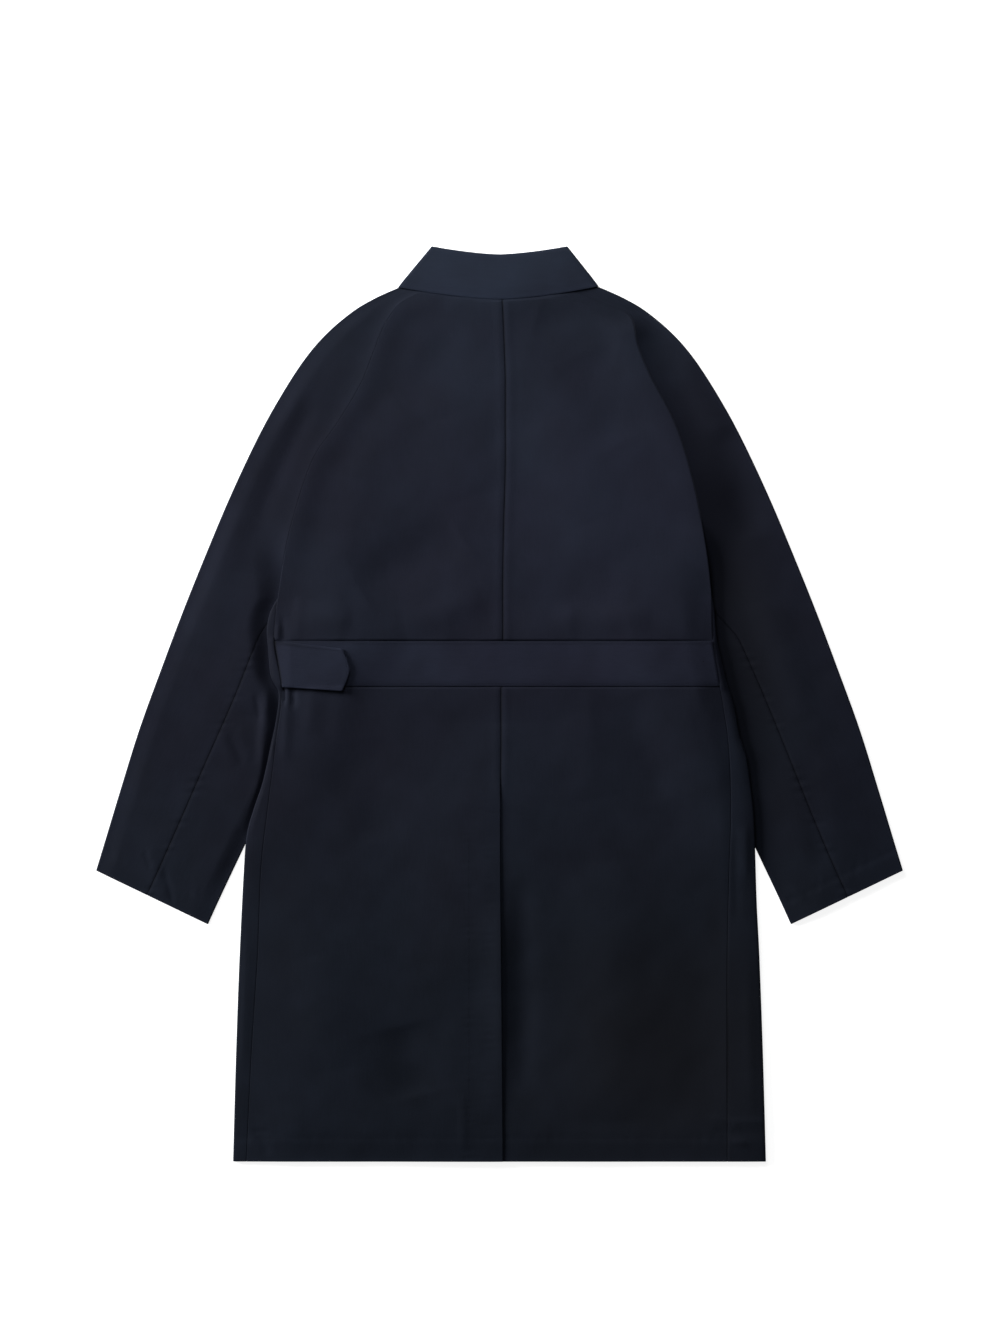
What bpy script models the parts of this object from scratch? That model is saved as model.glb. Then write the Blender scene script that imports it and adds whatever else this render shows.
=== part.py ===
"""Belted coat laid flat with its back up: raglan sleeves, a stand collar, a centre vent and a half belt.

Metres, +Z up. The origin is the middle of the coat's outline, on the surface that it lies on.
+Y runs up to the collar, and +X to the wearer's right, which is the right in this view from the back.
Each cut piece is one closed wall of cloth about a grid of middle points.
"""
import bpy
import numpy as np

MM = 0.001
LEFT, RIGHT = -1, 1

# Cloth and the way its layers lie on each other
WALL = 1.0 * MM                              # one layer of coat cloth
BAND_WALL = 1.8 * MM                         # collar, belt and tab, which are doubled
SEAM_GAP = 0.3 * MM                          # between pieces sewn edge to edge
LAP_GAP = 0.4 * MM                           # between a piece and the one under it
SLEEVE_GAP = 0.7 * MM                        # between a front and the sleeve tucked under it
BELT_GAP = 0.7 * MM                          # between the back, the belt and the tab
SEAM_LAP = 3.5 * MM                          # how far a sewn edge reaches under its neighbour
FOLD_GAP = 0.8 * MM                          # air inside a pressed fold
FOLD_REACH = 1.0 * MM                        # how far a fold stands out past its straight runs
UPPER = WALL + FOLD_GAP                      # underside of the upper layer at a fold
ON_EDGE = WALL + LAP_GAP                     # underside of cloth that lies on one layer
ON_FOLD = UPPER + WALL + LAP_GAP             # underside of cloth that lies on a folded edge
ON_SLEEVE = UPPER + WALL + SLEEVE_GAP        # underside of a front that lies on the tucked sleeve

# Loft: how far the upper layers rise away from their folds and seams
BACK_LOFT, BACK_LOFT_WIDTH = 0.8 * MM, 40 * MM
WRAP_LOFT, WRAP_LOFT_WIDTH = 0.5 * MM, 40 * MM
SLEEVE_LOFT, SLEEVE_LOFT_WIDTH = 2.4 * MM, 34 * MM
SLEEVE_LOFT_START = 8 * MM                   # the sleeve stays low this far beside the body's edge
NECK_LIFT, NECK_LIFT_FROM = 0.6 * MM, 430 * MM   # at the neck back and sleeve rise over the collar's front
NECK_LIFT_WIDTH = 30 * MM

# Fronts, underneath
FRONT_LAP = 35 * MM                          # each front reaches this far past the centre
FRONT_LAP_END = 2 * MM                       # the right front has risen on to the left one this far before it
FRONT_LAP_RAMP = 25 * MM                     # width over which it rises
NECK_FRONT = 400 * MM                        # level of the neckline at the centre of the fronts
NECK_DEPTH, NECK_HALF, NECK_POWER = 50 * MM, 99 * MM, 2.87
NECK_STATIONS = 4                            # rows below the neckline straighten over these stations
NECK_CLEAR = 1.2 * MM                        # from the fronts' neckline to the collar
SLEEVE_SEAM_INSET = 14 * MM                  # overarm seam, underneath, from the sleeve's outer fold
RAMP_FRONT, RAMP_BACK = 32 * MM, 80 * MM     # widths over which front and back rise on to the tucked sleeve
RAMP_END = 3 * MM                            # they have risen this far before its fold
NOTCH_FADE = 80 * MM                         # they come down again over this length past the notch

# Centre vent
VENT_STATION = 12                            # row of the body table where the vent starts
VENT_UNDERLAP = 36 * MM
VENT_WIDTH, VENT_LENGTH = 100 * MM, 45 * MM   # the upper flap rises on to the underlap over these

# Collar
COLLAR_FOLD_FOOT = (117 * MM, 480.5 * MM)    # the band's side fold, at the neck and at its upper edge
COLLAR_FOLD_TOP = (77.5 * MM, 525.5 * MM)
COLLAR_SEAM = 465.5 * MM                     # level of the collar's lower edge at the centre back
COLLAR_SEAM_POWER = 1.6
COLLAR_TOP = 516.6 * MM                      # level of its upper edge at the centre back
COLLAR_TOP_POWER = 1.5
COLLAR_FRONT_HEIGHT = 50 * MM
COLLAR_END_GAP = 0.5 * MM                    # half the gap between the band's ends at the centre front
COLLAR_FOOT_BLEND = 6                        # how quickly its lower edge leaves the fold for the neckline
COLLAR_FOOT_Z, COLLAR_TOP_Z = 6.9 * MM, 4.1 * MM   # middle of the band on the back, at its two edges

# Half belt and tab
BELT_TOP, BELT_BOTTOM = 71.5 * MM, 20.5 * MM
BELT_START = -234 * MM                       # hidden end, under the tab
BELT_END_TOP, BELT_END_BOTTOM = 251 * MM, 256 * MM
TAB_ROOT_TOP, TAB_ROOT_BOTTOM = -258 * MM, -249.5 * MM
TAB_TIP = -172 * MM
TAB_CHAMFER, TAB_TIP_POWER = 9 * MM, 1.4     # the tip's corners are cut back by this
TAB_TOP_ROOT, TAB_TOP_TIP = 71.5 * MM, 63 * MM
TAB_BOTTOM_ROOT, TAB_BOTTOM_TIP = 19.5 * MM, 15 * MM
TAB_SETTLE = (-256 * MM, -238 * MM)          # it comes down on to the back between these, past the belt's end


def table(names, *rows):
    """Rows given in millimetres, as one array in metres for each named column."""
    values = np.array(rows, float) * MM
    return {name: values[:, i] for i, name in enumerate(names.split())}


# Stations down the body, from the neck to the hem. Station 8 is the underarm and 12 the top of the vent.
# The seams are the edges of the back: raglan seams to the underarm, then side seams.
BACK = table(
    "centre_x centre_y left_x left_y right_x right_y",
    (3, 468, 86, 475, 86, 475),
    (4, 453, 114, 460, 118, 460),
    (5, 432, 132, 436, 150, 446),
    (6, 406, 144, 407, 159, 412),
    (7, 373, 160, 367, 173, 378),
    (7, 322, 187, 322, 201, 324),
    (7, 272, 216, 278, 219, 269),
    (5, 200, 241, 200, 234, 200),
    (4, 134, 253, 134, 243, 134),
    (4, 74, 256, 74, 245, 74),
    (2, 16, 250, 16, 254, 16),
    (2, -45, 257, -45, 263, -45),
    (1, -118, 266, -118, 266, -118),
    (1, -190, 274, -190, 264, -190),
    (2, -290, 278, -290, 262, -290),
    (3, -400, 285, -400, 262, -400),
    (4, -526, 291, -526, 262, -526),
)

# Outer edges of the fronts at the same stations: hidden raglan seams, then the side folds from the underarm.
FRONT = table(
    "centre_y left_x left_y right_x right_y",
    (400, 106, 449, 106, 449),
    (385, 111, 428, 111, 428),
    (367, 116, 405, 116, 405),
    (345, 122, 375, 122, 375),
    (320, 130, 342, 130, 342),
    (288, 140, 300, 140, 300),
    (252, 149, 258, 149, 258),
    (200, 158, 205, 158, 205),
    (134, 259, 134, 249, 134),
    (74, 266, 74, 251, 74),
    (16, 256, 16, 263, 16),
    (-45, 263, -45, 278, -45),
    (-118, 284, -118, 291, -118),
    (-190, 294, -190, 294, -190),
    (-290, 299, -290, 299, -290),
    (-400, 303, -400, 303, -400),
    (-526, 306.5, -526, 306.5, -526),
)

# Stations down the sleeve, from the neck past the underarm (8) and the notch (12) to the cuff. "over" is
# the outer fold, "under" the hidden raglan seam and then the inner fold, and the seam columns place the
# underarm seam between them, in thousandths of the way from the outer fold.
SLEEVE = table(
    "over_x over_y under_x under_y left_seam right_seam",
    (115.5, 478, 98, 449, 0, 0),
    (142, 466.5, 103, 428, 0, 0),
    (169, 450.5, 108, 405, 0, 0),
    (200, 424, 114, 375, 0, 0),
    (226, 393, 122, 342, 0, 0),
    (254, 349, 132, 300, 0, 0),
    (279, 303, 141, 258, 0, 0),
    (309, 239, 150, 205, 0, 0),
    (336, 175, 165, 98, 485, 540),
    (363, 108, 195, 36, 500, 512),
    (389, 39, 228, -30, 514, 511),
    (414, -30, 261, -96, 510, 520),
    (435.5, -99, 293, -162, 495, 520),
    (453, -157, 320, -219, 475, 508),
    (463.5, -191.5, 335.5, -253, 456, 490),
)
UNDERARM = 8
NOTCH = 12
FRONT_NOTCH = 13                             # first station of the body below the notch
CUFF = len(SLEEVE["over_x"]) - 1
HEM = len(BACK["centre_x"]) - 1

# The largest soft folds of the back and the sleeves: two ends, half width and height in millimetres.
BACK_FOLDS = table(
    "x0 y0 x1 y1 width height",
    (-70, 440, -135, 375, 26, -0.9),
    (-160, 205, -95, 165, 30, -1.0),
    (-105, 150, -40, 120, 22, 0.7),
    (75, 440, 140, 425, 20, -0.8),
    (120, 400, 190, 300, 24, 0.8),
    (-235, 95, -170, 92, 14, 0.8),
    (70, 92, 170, 92, 13, 0.9),
    (-150, -60, -170, -300, 34, 0.8),
    (120, -150, 190, -430, 40, -1.0),
    (75, -160, 55, -420, 26, -0.5),
    (-40, -150, -35, -480, 14, 0.7),
)
SLEEVE_FOLDS = table(
    "x0 y0 x1 y1 width height",
    (-282, 18, -276, -20, 9, 1.0),
    (-312, -32, -295, -70, 10, -0.9),
    (-268, -90, -292, -150, 9, 1.1),
    (-405, -165, -385, -225, 9, 0.9),
    (262, 160, 285, 60, 14, -0.9),
    (300, 120, 350, -20, 18, 0.8),
    (330, -210, 352, -222, 8, 0.9),
    (-300, 230, -345, 60, 20, 0.8),
)

# Grid lines of the pieces
BACK_ROWS, BACK_COLUMNS, UNDERLAP_COLUMNS = 32, 12, 2
FRONT_ROWS_TO_UNDERARM, FRONT_ROWS_TO_NOTCH, FRONT_ROWS_TO_HEM = 12, 12, 8
SLEEVE_ROWS, SLEEVE_COLUMNS, SLEEVE_FLOOR_COLUMNS, SLEEVE_HOOK_COLUMNS = 24, 8, 5, 5
COLLAR_ROWS, COLLAR_BACK_COLUMNS, COLLAR_FRONT_COLUMNS = 4, 18, 7
BELT_ROWS, BELT_COLUMNS = 4, 36
TAB_ROWS, TAB_COLUMNS = 6, 12
FOLD_STEPS = 4
EDGE_SAMPLES = 250
WRAP_COLUMNS = 3
EDGE_CROWDING = 1.35                         # columns lie closer together towards a seam or fold
NAVY = (0.0105, 0.012, 0.019, 1.0)


def smooth(t):
    """Soft step from 0 to 1 as t goes from 0 to 1."""
    t = np.clip(t, 0.0, 1.0)
    return t * t * (3.0 - 2.0 * t)


def along(values, station):
    """Smooth curve through the rows of a table column, read at fractional row numbers."""
    last = len(values) - 1
    row = np.clip(np.floor(station).astype(int), 0, last - 1)
    t = station - row
    before, start = values[np.clip(row - 1, 0, last)], values[row]
    end, after = values[row + 1], values[np.clip(row + 2, 0, last)]
    linear = (end - before) * t
    square = (2 * before - 5 * start + 4 * end - after) * t ** 2
    cube = (3 * (start - end) + after - before) * t ** 3
    return start + 0.5 * (linear + square + cube)


def across(values_x, values_y, y):
    """Distance from the centre line of a table's edge, where the edge crosses the levels y."""
    station = np.linspace(0, len(values_x) - 1, EDGE_SAMPLES)
    levels = along(values_y, station)
    return np.interp(-y, -levels, along(values_x, station))


def by_side(x, left, right):
    """Left values where x is left of the centre line, right values elsewhere."""
    return np.where(x < 0, left, right)


def folds(rows, x, y):
    """Height of a table of soft folds: each falls off as a bell with the distance from its line."""
    height = np.zeros_like(x)
    for x0, y0, x1, y1, width, peak in zip(*rows.values()):
        length = np.hypot(x1 - x0, y1 - y0)
        t = np.clip(((x - x0) * (x1 - x0) + (y - y0) * (y1 - y0)) / length ** 2, 0, 1)
        distance = np.hypot(x - x0 - t * (x1 - x0), y - y0 - t * (y1 - y0))
        height = height + peak * np.exp(-(distance / width) ** 2)
    return height


def above_notch(y):
    """1 above the notch between sleeve and body, falling to 0 below it."""
    return smooth((y - SLEEVE["under_y"][NOTCH]) / NOTCH_FADE + 1)


def tucked(x, y, ramp):
    """How far a point lies on the sleeve that is tucked under the body, from 0 to 1.

    The tucked sleeve is bounded by its inner fold, by the line where its inner fold ends at the underarm,
    and by the notch between sleeve and body, past which the body comes down again.
    """
    fold = across(SLEEVE["under_x"], SLEEVE["under_y"], y)
    past_fold = smooth((np.abs(x) - fold + RAMP_END + ramp) / ramp)
    end_x, end_y = SLEEVE["under_x"][UNDERARM], SLEEVE["under_y"][UNDERARM]
    run_x = BACK["right_x"][UNDERARM] - end_x
    run_y = BACK["right_y"][UNDERARM] - end_y
    past_end = ((np.abs(x) - end_x) * run_y - (y - end_y) * run_x) / np.hypot(run_x, run_y)
    return past_fold * smooth((past_end + RAMP_END + ramp) / ramp) * above_notch(y)


def front_bottom(x, y, side):
    """Underside of a front: on the floor, on the sleeve's edge, and on the tucked sleeve."""
    fold = across(SLEEVE["under_x"], SLEEVE["under_y"], y)
    on_edge = smooth((np.abs(x) - fold + RAMP_END + RAMP_FRONT) / RAMP_FRONT)
    height = ON_EDGE * on_edge * above_notch(y) + (ON_SLEEVE - ON_EDGE) * tucked(x, y, RAMP_FRONT)
    if side == RIGHT:
        height = height + ON_EDGE * smooth((FRONT_LAP + FRONT_LAP_END + FRONT_LAP_RAMP - x) / FRONT_LAP_RAMP)
    return height


def body_edge(x, y):
    """Distance inside the edge of the body: its raglan seam above the underarm, its side fold below."""
    edge = []
    for side in ("left", "right"):
        edge_x = np.concatenate([BACK[side + "_x"][:UNDERARM], FRONT[side + "_x"][UNDERARM:]])
        edge_y = np.concatenate([BACK[side + "_y"][:UNDERARM], FRONT[side + "_y"][UNDERARM:]])
        edge.append(across(edge_x, edge_y, y))
    return by_side(x, edge[0], edge[1]) - np.abs(x)


def over_collar(y):
    """Lift of the upper layers where they lie on the collar's front."""
    return NECK_LIFT * smooth((y - NECK_LIFT_FROM) / NECK_LIFT_WIDTH)


def back_bottom(x, y):
    """Underside of the back: on the turned side of the front, lofted inwards, with its soft folds."""
    inside = body_edge(x, y)
    loft = BACK_LOFT * smooth(inside / BACK_LOFT_WIDTH)
    soft = folds(BACK_FOLDS, x, y) * smooth(inside / BACK_LOFT_WIDTH)
    return ON_FOLD + ON_SLEEVE * tucked(x, y, RAMP_BACK) + over_collar(y) + loft + soft


def sleeve_bottom(x, y, over, under):
    """Underside of a sleeve's upper layer, lofted away from the body's edge and from its two folds."""
    from_body = smooth((-body_edge(x, y) - SLEEVE_LOFT_START) / SLEEVE_LOFT_WIDTH)
    from_folds = smooth(over / SLEEVE_LOFT_WIDTH) * smooth(under / SLEEVE_LOFT_WIDTH)
    soft = (SLEEVE_LOFT + folds(SLEEVE_FOLDS, x, y)) * from_body * from_folds
    return UPPER + over_collar(y) + soft


def neckline(x):
    """Level of the fronts' neckline."""
    return NECK_FRONT + NECK_DEPTH * (np.abs(x) / NECK_HALF) ** NECK_POWER


def wall_mesh(name, middle, wall, keep=None):
    """Closed wall about a grid of middle points: two faces moved out along the normals, and the rim.

    keep marks the cells of the grid that exist; the rim follows the edge of those cells.
    """
    rows, columns = middle.shape[:2]
    if keep is None:
        keep = np.ones((rows - 1, columns - 1), bool)
    normal = np.cross(np.gradient(middle, axis=1), np.gradient(middle, axis=0))
    normal = normal / np.linalg.norm(normal, axis=2, keepdims=True)
    points = np.concatenate([middle + normal * wall / 2, middle - normal * wall / 2]).reshape(-1, 3)
    index = np.arange(rows * columns).reshape(rows, columns)
    under = rows * columns
    faces = []
    padded = np.pad(keep, 1)
    for i, j in zip(*np.nonzero(keep)):
        a, b, c, d = index[i, j], index[i, j + 1], index[i + 1, j + 1], index[i + 1, j]
        faces += [(a, b, c), (a, c, d), (c + under, b + under, a + under), (d + under, c + under, a + under)]
        sides = (
            (padded[i, j + 1], a, b),
            (padded[i + 1, j + 2], b, c),
            (padded[i + 2, j + 1], c, d),
            (padded[i + 1, j], d, a),
        )
        for neighbour, start, end in sides:
            if not neighbour:
                faces += [(end, start, start + under), (end, start + under, end + under)]
    faces = np.array(faces)
    used, faces = np.unique(faces, return_inverse=True)
    faces = faces.reshape(-1, 3)
    points = points[used]
    corners = points[faces]
    volume = np.einsum("ij,ij->i", corners[:, 0], np.cross(corners[:, 1], corners[:, 2])).sum()
    if volume < 0:
        faces = faces[:, ::-1]
    mesh = bpy.data.meshes.new(name)
    mesh.from_pydata(points.tolist(), [], faces.tolist())
    mesh.shade_smooth()
    mesh.set_sharp_from_angle(angle=np.radians(40))
    piece = bpy.data.objects.new(name, mesh)
    bpy.context.scene.collection.objects.link(piece)
    return piece


def cloth_material(name, roughness):
    """Plain navy cotton."""
    material = bpy.data.materials.new(name)
    material.use_nodes = True
    shader = material.node_tree.nodes["Principled BSDF"]
    shader.inputs["Base Color"].default_value = NAVY
    shader.inputs["Roughness"].default_value = roughness
    shader.inputs["Metallic"].default_value = 0.0
    material.diffuse_color = NAVY
    return material


def row_points(start, end, t):
    """Points of straight rows from start to end, each an array of (x, y), at the shares t of the way.

    t is one list for all rows, or a list for each row.
    """
    return start[:, None, :] + (end - start)[:, None, :] * np.atleast_2d(t)[:, :, None]


def pairs(x, y):
    """Two columns of numbers as an array of points."""
    return np.stack([x, y], axis=-1)


def crowded(columns):
    """Shares from 0 to 1 that lie closer together towards 1."""
    return 1 - (1 - np.linspace(0, 1, columns + 1)) ** EDGE_CROWDING


def unit(vectors):
    """Vectors of length one."""
    return vectors / np.linalg.norm(vectors, axis=-1, keepdims=True)


def half_turn(foot, outward, low, high):
    """Points of a pressed fold: half a flat ring, from the lower layer's end to the upper layer's.

    foot and outward are rows of (x, y), low and high the heights of the two layers' middles there.
    """
    angle = np.linspace(0, np.pi, FOLD_STEPS + 1)[1:-1]
    reach = FOLD_REACH * np.sin(angle)
    plan = foot[:, None, :] + outward[:, None, :] * reach[None, :, None]
    middle, radius = (low + high) / 2, (high - low) / 2
    height = middle[:, None] - radius[:, None] * np.cos(angle)[None, :]
    return np.concatenate([plan, height[:, :, None]], axis=2)


def with_height(plan, height):
    """Plan points (x, y) and their heights as points in space."""
    return np.concatenate([plan, height[:, :, None]], axis=2)


def back_panel(name, side):
    """One half of the back: straight rows from the centre seam to the raglan and side seam.

    Below the top of the vent the left half rises as the upper flap, and the right half runs on under it.
    """
    station = np.linspace(0, HEM, BACK_ROWS + 1)
    edge = "left" if side == LEFT else "right"
    centre = pairs(along(BACK["centre_x"], station) + side * SEAM_GAP / 2, along(BACK["centre_y"], station))
    seam = pairs(side * along(BACK[edge + "_x"], station), along(BACK[edge + "_y"], station))
    plan = row_points(centre, seam, crowded(BACK_COLUMNS))
    keep = np.ones((BACK_ROWS, BACK_COLUMNS), bool)
    if side == RIGHT:
        under_end = centre - np.array([VENT_UNDERLAP, 0])
        underlap = row_points(under_end, centre, np.linspace(0, 1, UNDERLAP_COLUMNS + 1)[:-1])
        plan = np.concatenate([underlap, plan], axis=1)
        has_underlap = station[:-1, None] >= VENT_STATION
        keep = np.concatenate([np.repeat(has_underlap, UNDERLAP_COLUMNS, axis=1), keep], axis=1)
    x, y = plan[..., 0], plan[..., 1]
    vent_top = BACK["centre_y"][VENT_STATION]
    vent = smooth((vent_top - y) / VENT_LENGTH + 1) * (1 - smooth((-x - VENT_UNDERLAP) / VENT_WIDTH))
    height = back_bottom(x, y) + WALL / 2
    if side == LEFT:
        height = height + ON_EDGE * vent
    return wall_mesh(name, with_height(plan, height), WALL, keep)


def front_columns(length, station):
    """Shares of a front's rows for its columns, with one at each end of its lap and of its ramps."""
    lapped = np.full_like(station, 2 * FRONT_LAP + FRONT_LAP_END)
    settled = lapped + FRONT_LAP_RAMP
    level = along(FRONT["right_y"], station)
    sleeve = across(SLEEVE["under_x"], SLEEVE["under_y"], level) + FRONT_LAP - RAMP_END
    ramp_end = np.clip(sleeve, settled + RAMP_FRONT / 2, length - RAMP_FRONT / 4)
    ramp_start = np.clip(ramp_end - RAMP_FRONT, settled + RAMP_FRONT / 4, None)
    marks = [0 * length, lapped, settled, ramp_start, ramp_end, length]
    cells = [3, 1, 3, 2, 2]
    spans = [
        marks[i] + (marks[i + 1] - marks[i]) * step / count
        for i, count in enumerate(cells)
        for step in range(count)
    ]
    return np.stack([*spans, length], axis=1) / length[:, None]


def front_stations():
    """Rows of a front: even steps to the underarm, to the notch and to the hem."""
    upper = np.linspace(0, UNDERARM, FRONT_ROWS_TO_UNDERARM + 1)[:-1]
    middle = np.linspace(UNDERARM, FRONT_NOTCH, FRONT_ROWS_TO_NOTCH + 1)[:-1]
    lower = np.linspace(FRONT_NOTCH, HEM, FRONT_ROWS_TO_HEM + 1)
    return np.concatenate([upper, middle, lower])


def front_panel(name, side):
    """One front: straight rows underneath, from past the centre to the hidden raglan seam or the side fold.

    From the underarm down each row turns round the side fold and comes back on top, under the back's edge.
    """
    station = front_stations()
    edge = "left" if side == LEFT else "right"
    centre = pairs(np.full_like(station, -side * FRONT_LAP), along(FRONT["centre_y"], station))
    fold = pairs(side * along(FRONT[edge + "_x"], station), along(FRONT[edge + "_y"], station))
    outward = np.tile([float(side), 0.0], (len(station), 1))
    foot = fold - outward * FOLD_REACH
    plan = row_points(centre, foot, front_columns(np.abs(foot[:, 0] - centre[:, 0]), station))
    columns = plan.shape[1] - 1
    drop = neckline(plan[0, :, 0]) - plan[0, :, 1]
    plan[..., 1] += drop * (1 - smooth(station / NECK_STATIONS))[:, None]
    low = front_bottom(plan[..., 0], plan[..., 1], side) + WALL / 2
    low_foot = low[:, -1]
    high_foot = low_foot + UPPER
    turn = half_turn(foot, outward, low_foot, high_foot)
    seam_x = side * (along(BACK[edge + "_x"], station) - SEAM_LAP)
    seam = pairs(np.where(station < UNDERARM, foot[:, 0] - side * 2 * FOLD_REACH, seam_x), fold[:, 1])
    wrap = row_points(foot, seam, np.linspace(0, 1, WRAP_COLUMNS + 1))
    inside = np.abs(wrap[..., 0] - foot[:, None, 0])
    wrap_height = front_bottom(wrap[..., 0], wrap[..., 1], side) + UPPER + WALL / 2
    wrap_height = wrap_height + WRAP_LOFT * smooth(inside / WRAP_LOFT_WIDTH)
    middle = np.concatenate([with_height(plan, low), turn, with_height(wrap, wrap_height)], axis=1)
    keep = np.ones((len(station) - 1, middle.shape[1] - 1), bool)
    keep[station[:-1] < UNDERARM, columns:] = False
    return wall_mesh(name, middle, WALL, keep)


def sleeve_rows(side):
    """Outer fold, upper seam, under edge and overarm seam of a sleeve's rows, as arrays of (x, y)."""
    station = np.linspace(0, CUFF, SLEEVE_ROWS + 1)
    station = np.unique(np.round(np.append(station, UNDERARM), 6))
    edge = "left" if side == LEFT else "right"
    over = pairs(along(SLEEVE["over_x"], station), along(SLEEVE["over_y"], station))
    under = pairs(along(SLEEVE["under_x"], station), along(SLEEVE["under_y"], station))
    raglan = pairs(along(BACK[edge + "_x"], station), along(BACK[edge + "_y"], station))
    raglan = raglan - unit(over - raglan) * SEAM_LAP
    share = along(SLEEVE[edge + "_seam"], np.maximum(station, UNDERARM)) / MM / 1000
    elbow = over + (under - over) * share[:, None]
    seam = np.where((station <= UNDERARM)[:, None], raglan, elbow)
    overarm = over + unit(under - over) * SLEEVE_SEAM_INSET
    mirror = np.array([side, 1.0])
    return station, over * mirror, seam * mirror, under * mirror, overarm * mirror


def sleeve_back(name, side):
    """Upper half of a sleeve: from the raglan or underarm seam over the outer fold to the overarm seam."""
    station, over, seam, under, overarm = sleeve_rows(side)
    outward = unit(over - seam)
    foot = over - outward * FOLD_REACH
    top_start = seam + outward * SEAM_GAP / 2
    top = row_points(top_start, foot, crowded(SLEEVE_COLUMNS))
    to_over = np.linalg.norm(top - foot[:, None, :], axis=2)
    to_under = np.linalg.norm(top - under[:, None, :], axis=2)
    height = sleeve_bottom(top[..., 0], top[..., 1], to_over, to_under) + WALL / 2
    floor = np.full(len(station), WALL / 2)
    turn = half_turn(foot, outward, height[:, -1], floor)
    below_end = overarm - unit(under - over) * SEAM_GAP / 2
    below = row_points(foot, below_end, np.array([0.0, 1.0]))
    below = with_height(below, np.full(below.shape[:2], WALL / 2))
    return wall_mesh(name, np.concatenate([with_height(top, height), turn, below], axis=1), WALL)


def sleeve_front(name, side):
    """Lower half of a sleeve: from the overarm seam along the floor to the hidden raglan seam.

    From the underarm down each row turns round the inner fold and comes back on top to the underarm seam.
    """
    station, over, seam, under, overarm = sleeve_rows(side)
    outward = unit(under - over)
    start = overarm + outward * SEAM_GAP / 2
    foot = under - outward * FOLD_REACH
    floor_plan = row_points(start, foot, np.linspace(0, 1, SLEEVE_FLOOR_COLUMNS + 1))
    floor_plan[0, :, 1] = neckline(floor_plan[0, :, 0])
    floor = with_height(floor_plan, np.full(floor_plan.shape[:2], WALL / 2))
    hook_end = seam - unit(over - seam) * SEAM_GAP / 2
    hook_end = np.where((station < UNDERARM)[:, None], foot - outward * 2 * FOLD_REACH, hook_end)
    hook = row_points(foot, hook_end, np.linspace(0, 1, SLEEVE_HOOK_COLUMNS + 1))
    to_over = np.linalg.norm(hook - over[:, None, :], axis=2)
    to_under = np.linalg.norm(hook - foot[:, None, :], axis=2)
    height = sleeve_bottom(hook[..., 0], hook[..., 1], to_over, to_under) + WALL / 2
    turn = half_turn(foot, outward, np.full(len(station), WALL / 2), height[:, 0])
    middle = np.concatenate([floor, turn, with_height(hook, height)], axis=1)
    keep = np.ones((len(station) - 1, middle.shape[1] - 1), bool)
    keep[station[:-1] < UNDERARM, SLEEVE_FLOOR_COLUMNS:] = False
    return wall_mesh(name, middle, WALL, keep)


def collar_band(name):
    """Stand collar: one band, folded flat at both sides of the neck, its ends meeting at the centre front.

    The columns run from the left end round the left fold, across the back, round the right fold to the
    right end. The rows run from the neck seam to the upper edge.
    """
    v = np.linspace(0, 1, COLLAR_ROWS + 1)
    foot_x, foot_y = COLLAR_FOLD_FOOT
    top_x, top_y = COLLAR_FOLD_TOP
    fold_x, fold_y = foot_x + (top_x - foot_x) * v, foot_y + (top_y - foot_y) * v
    b = np.linspace(-1, 1, COLLAR_BACK_COLUMNS + 1)
    seam = COLLAR_SEAM + (foot_y - COLLAR_SEAM) * np.abs(b) ** COLLAR_SEAM_POWER
    top = COLLAR_TOP + (top_y - COLLAR_TOP) * np.abs(b) ** COLLAR_TOP_POWER
    back_x = (fold_x - FOLD_REACH)[:, None] * b[None, :]
    back_y = seam[None, :] + (top - seam)[None, :] * v[:, None]
    back_z = (COLLAR_FOOT_Z + (COLLAR_TOP_Z - COLLAR_FOOT_Z) * v)[:, None] + 0 * back_x
    back = np.stack([back_x, back_y, back_z], axis=2)
    a = np.linspace(0, 1, COLLAR_FRONT_COLUMNS + 1)
    runs = []
    for side in (LEFT, RIGHT):
        foot = pairs(side * (fold_x - FOLD_REACH), fold_y)
        outward = np.tile([float(side), 0.0], (len(v), 1))
        turn = half_turn(foot, outward, back_z[:, 0], np.full(len(v), BAND_WALL / 2))
        front_x = foot[:, None, 0] + (side * COLLAR_END_GAP - foot[:, None, 0]) * a[None, :]
        low = neckline(front_x[:1]) + NECK_CLEAR
        low = low + (foot_y - low[0, 0]) * (1 - a) ** COLLAR_FOOT_BLEND
        high = top_y + (NECK_FRONT + COLLAR_FRONT_HEIGHT - top_y) * 2 * smooth(a / 2)
        front_y = low + (high[None, :] - low) * v[:, None]
        front_z = np.full(front_x.shape, BAND_WALL / 2)
        front = np.stack([front_x, front_y, front_z], axis=2)
        runs.append(np.concatenate([turn, front], axis=1))
    return wall_mesh(name, np.concatenate([runs[0][:, ::-1], back, runs[1]], axis=1), BAND_WALL)


def belt_top(x, y):
    """Upper side of the belt's place: the back's upper side, with the belt on it from its hidden end on."""
    on_back = back_bottom(x, y) + WALL
    return on_back, on_back + BELT_GAP + BAND_WALL


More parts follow.
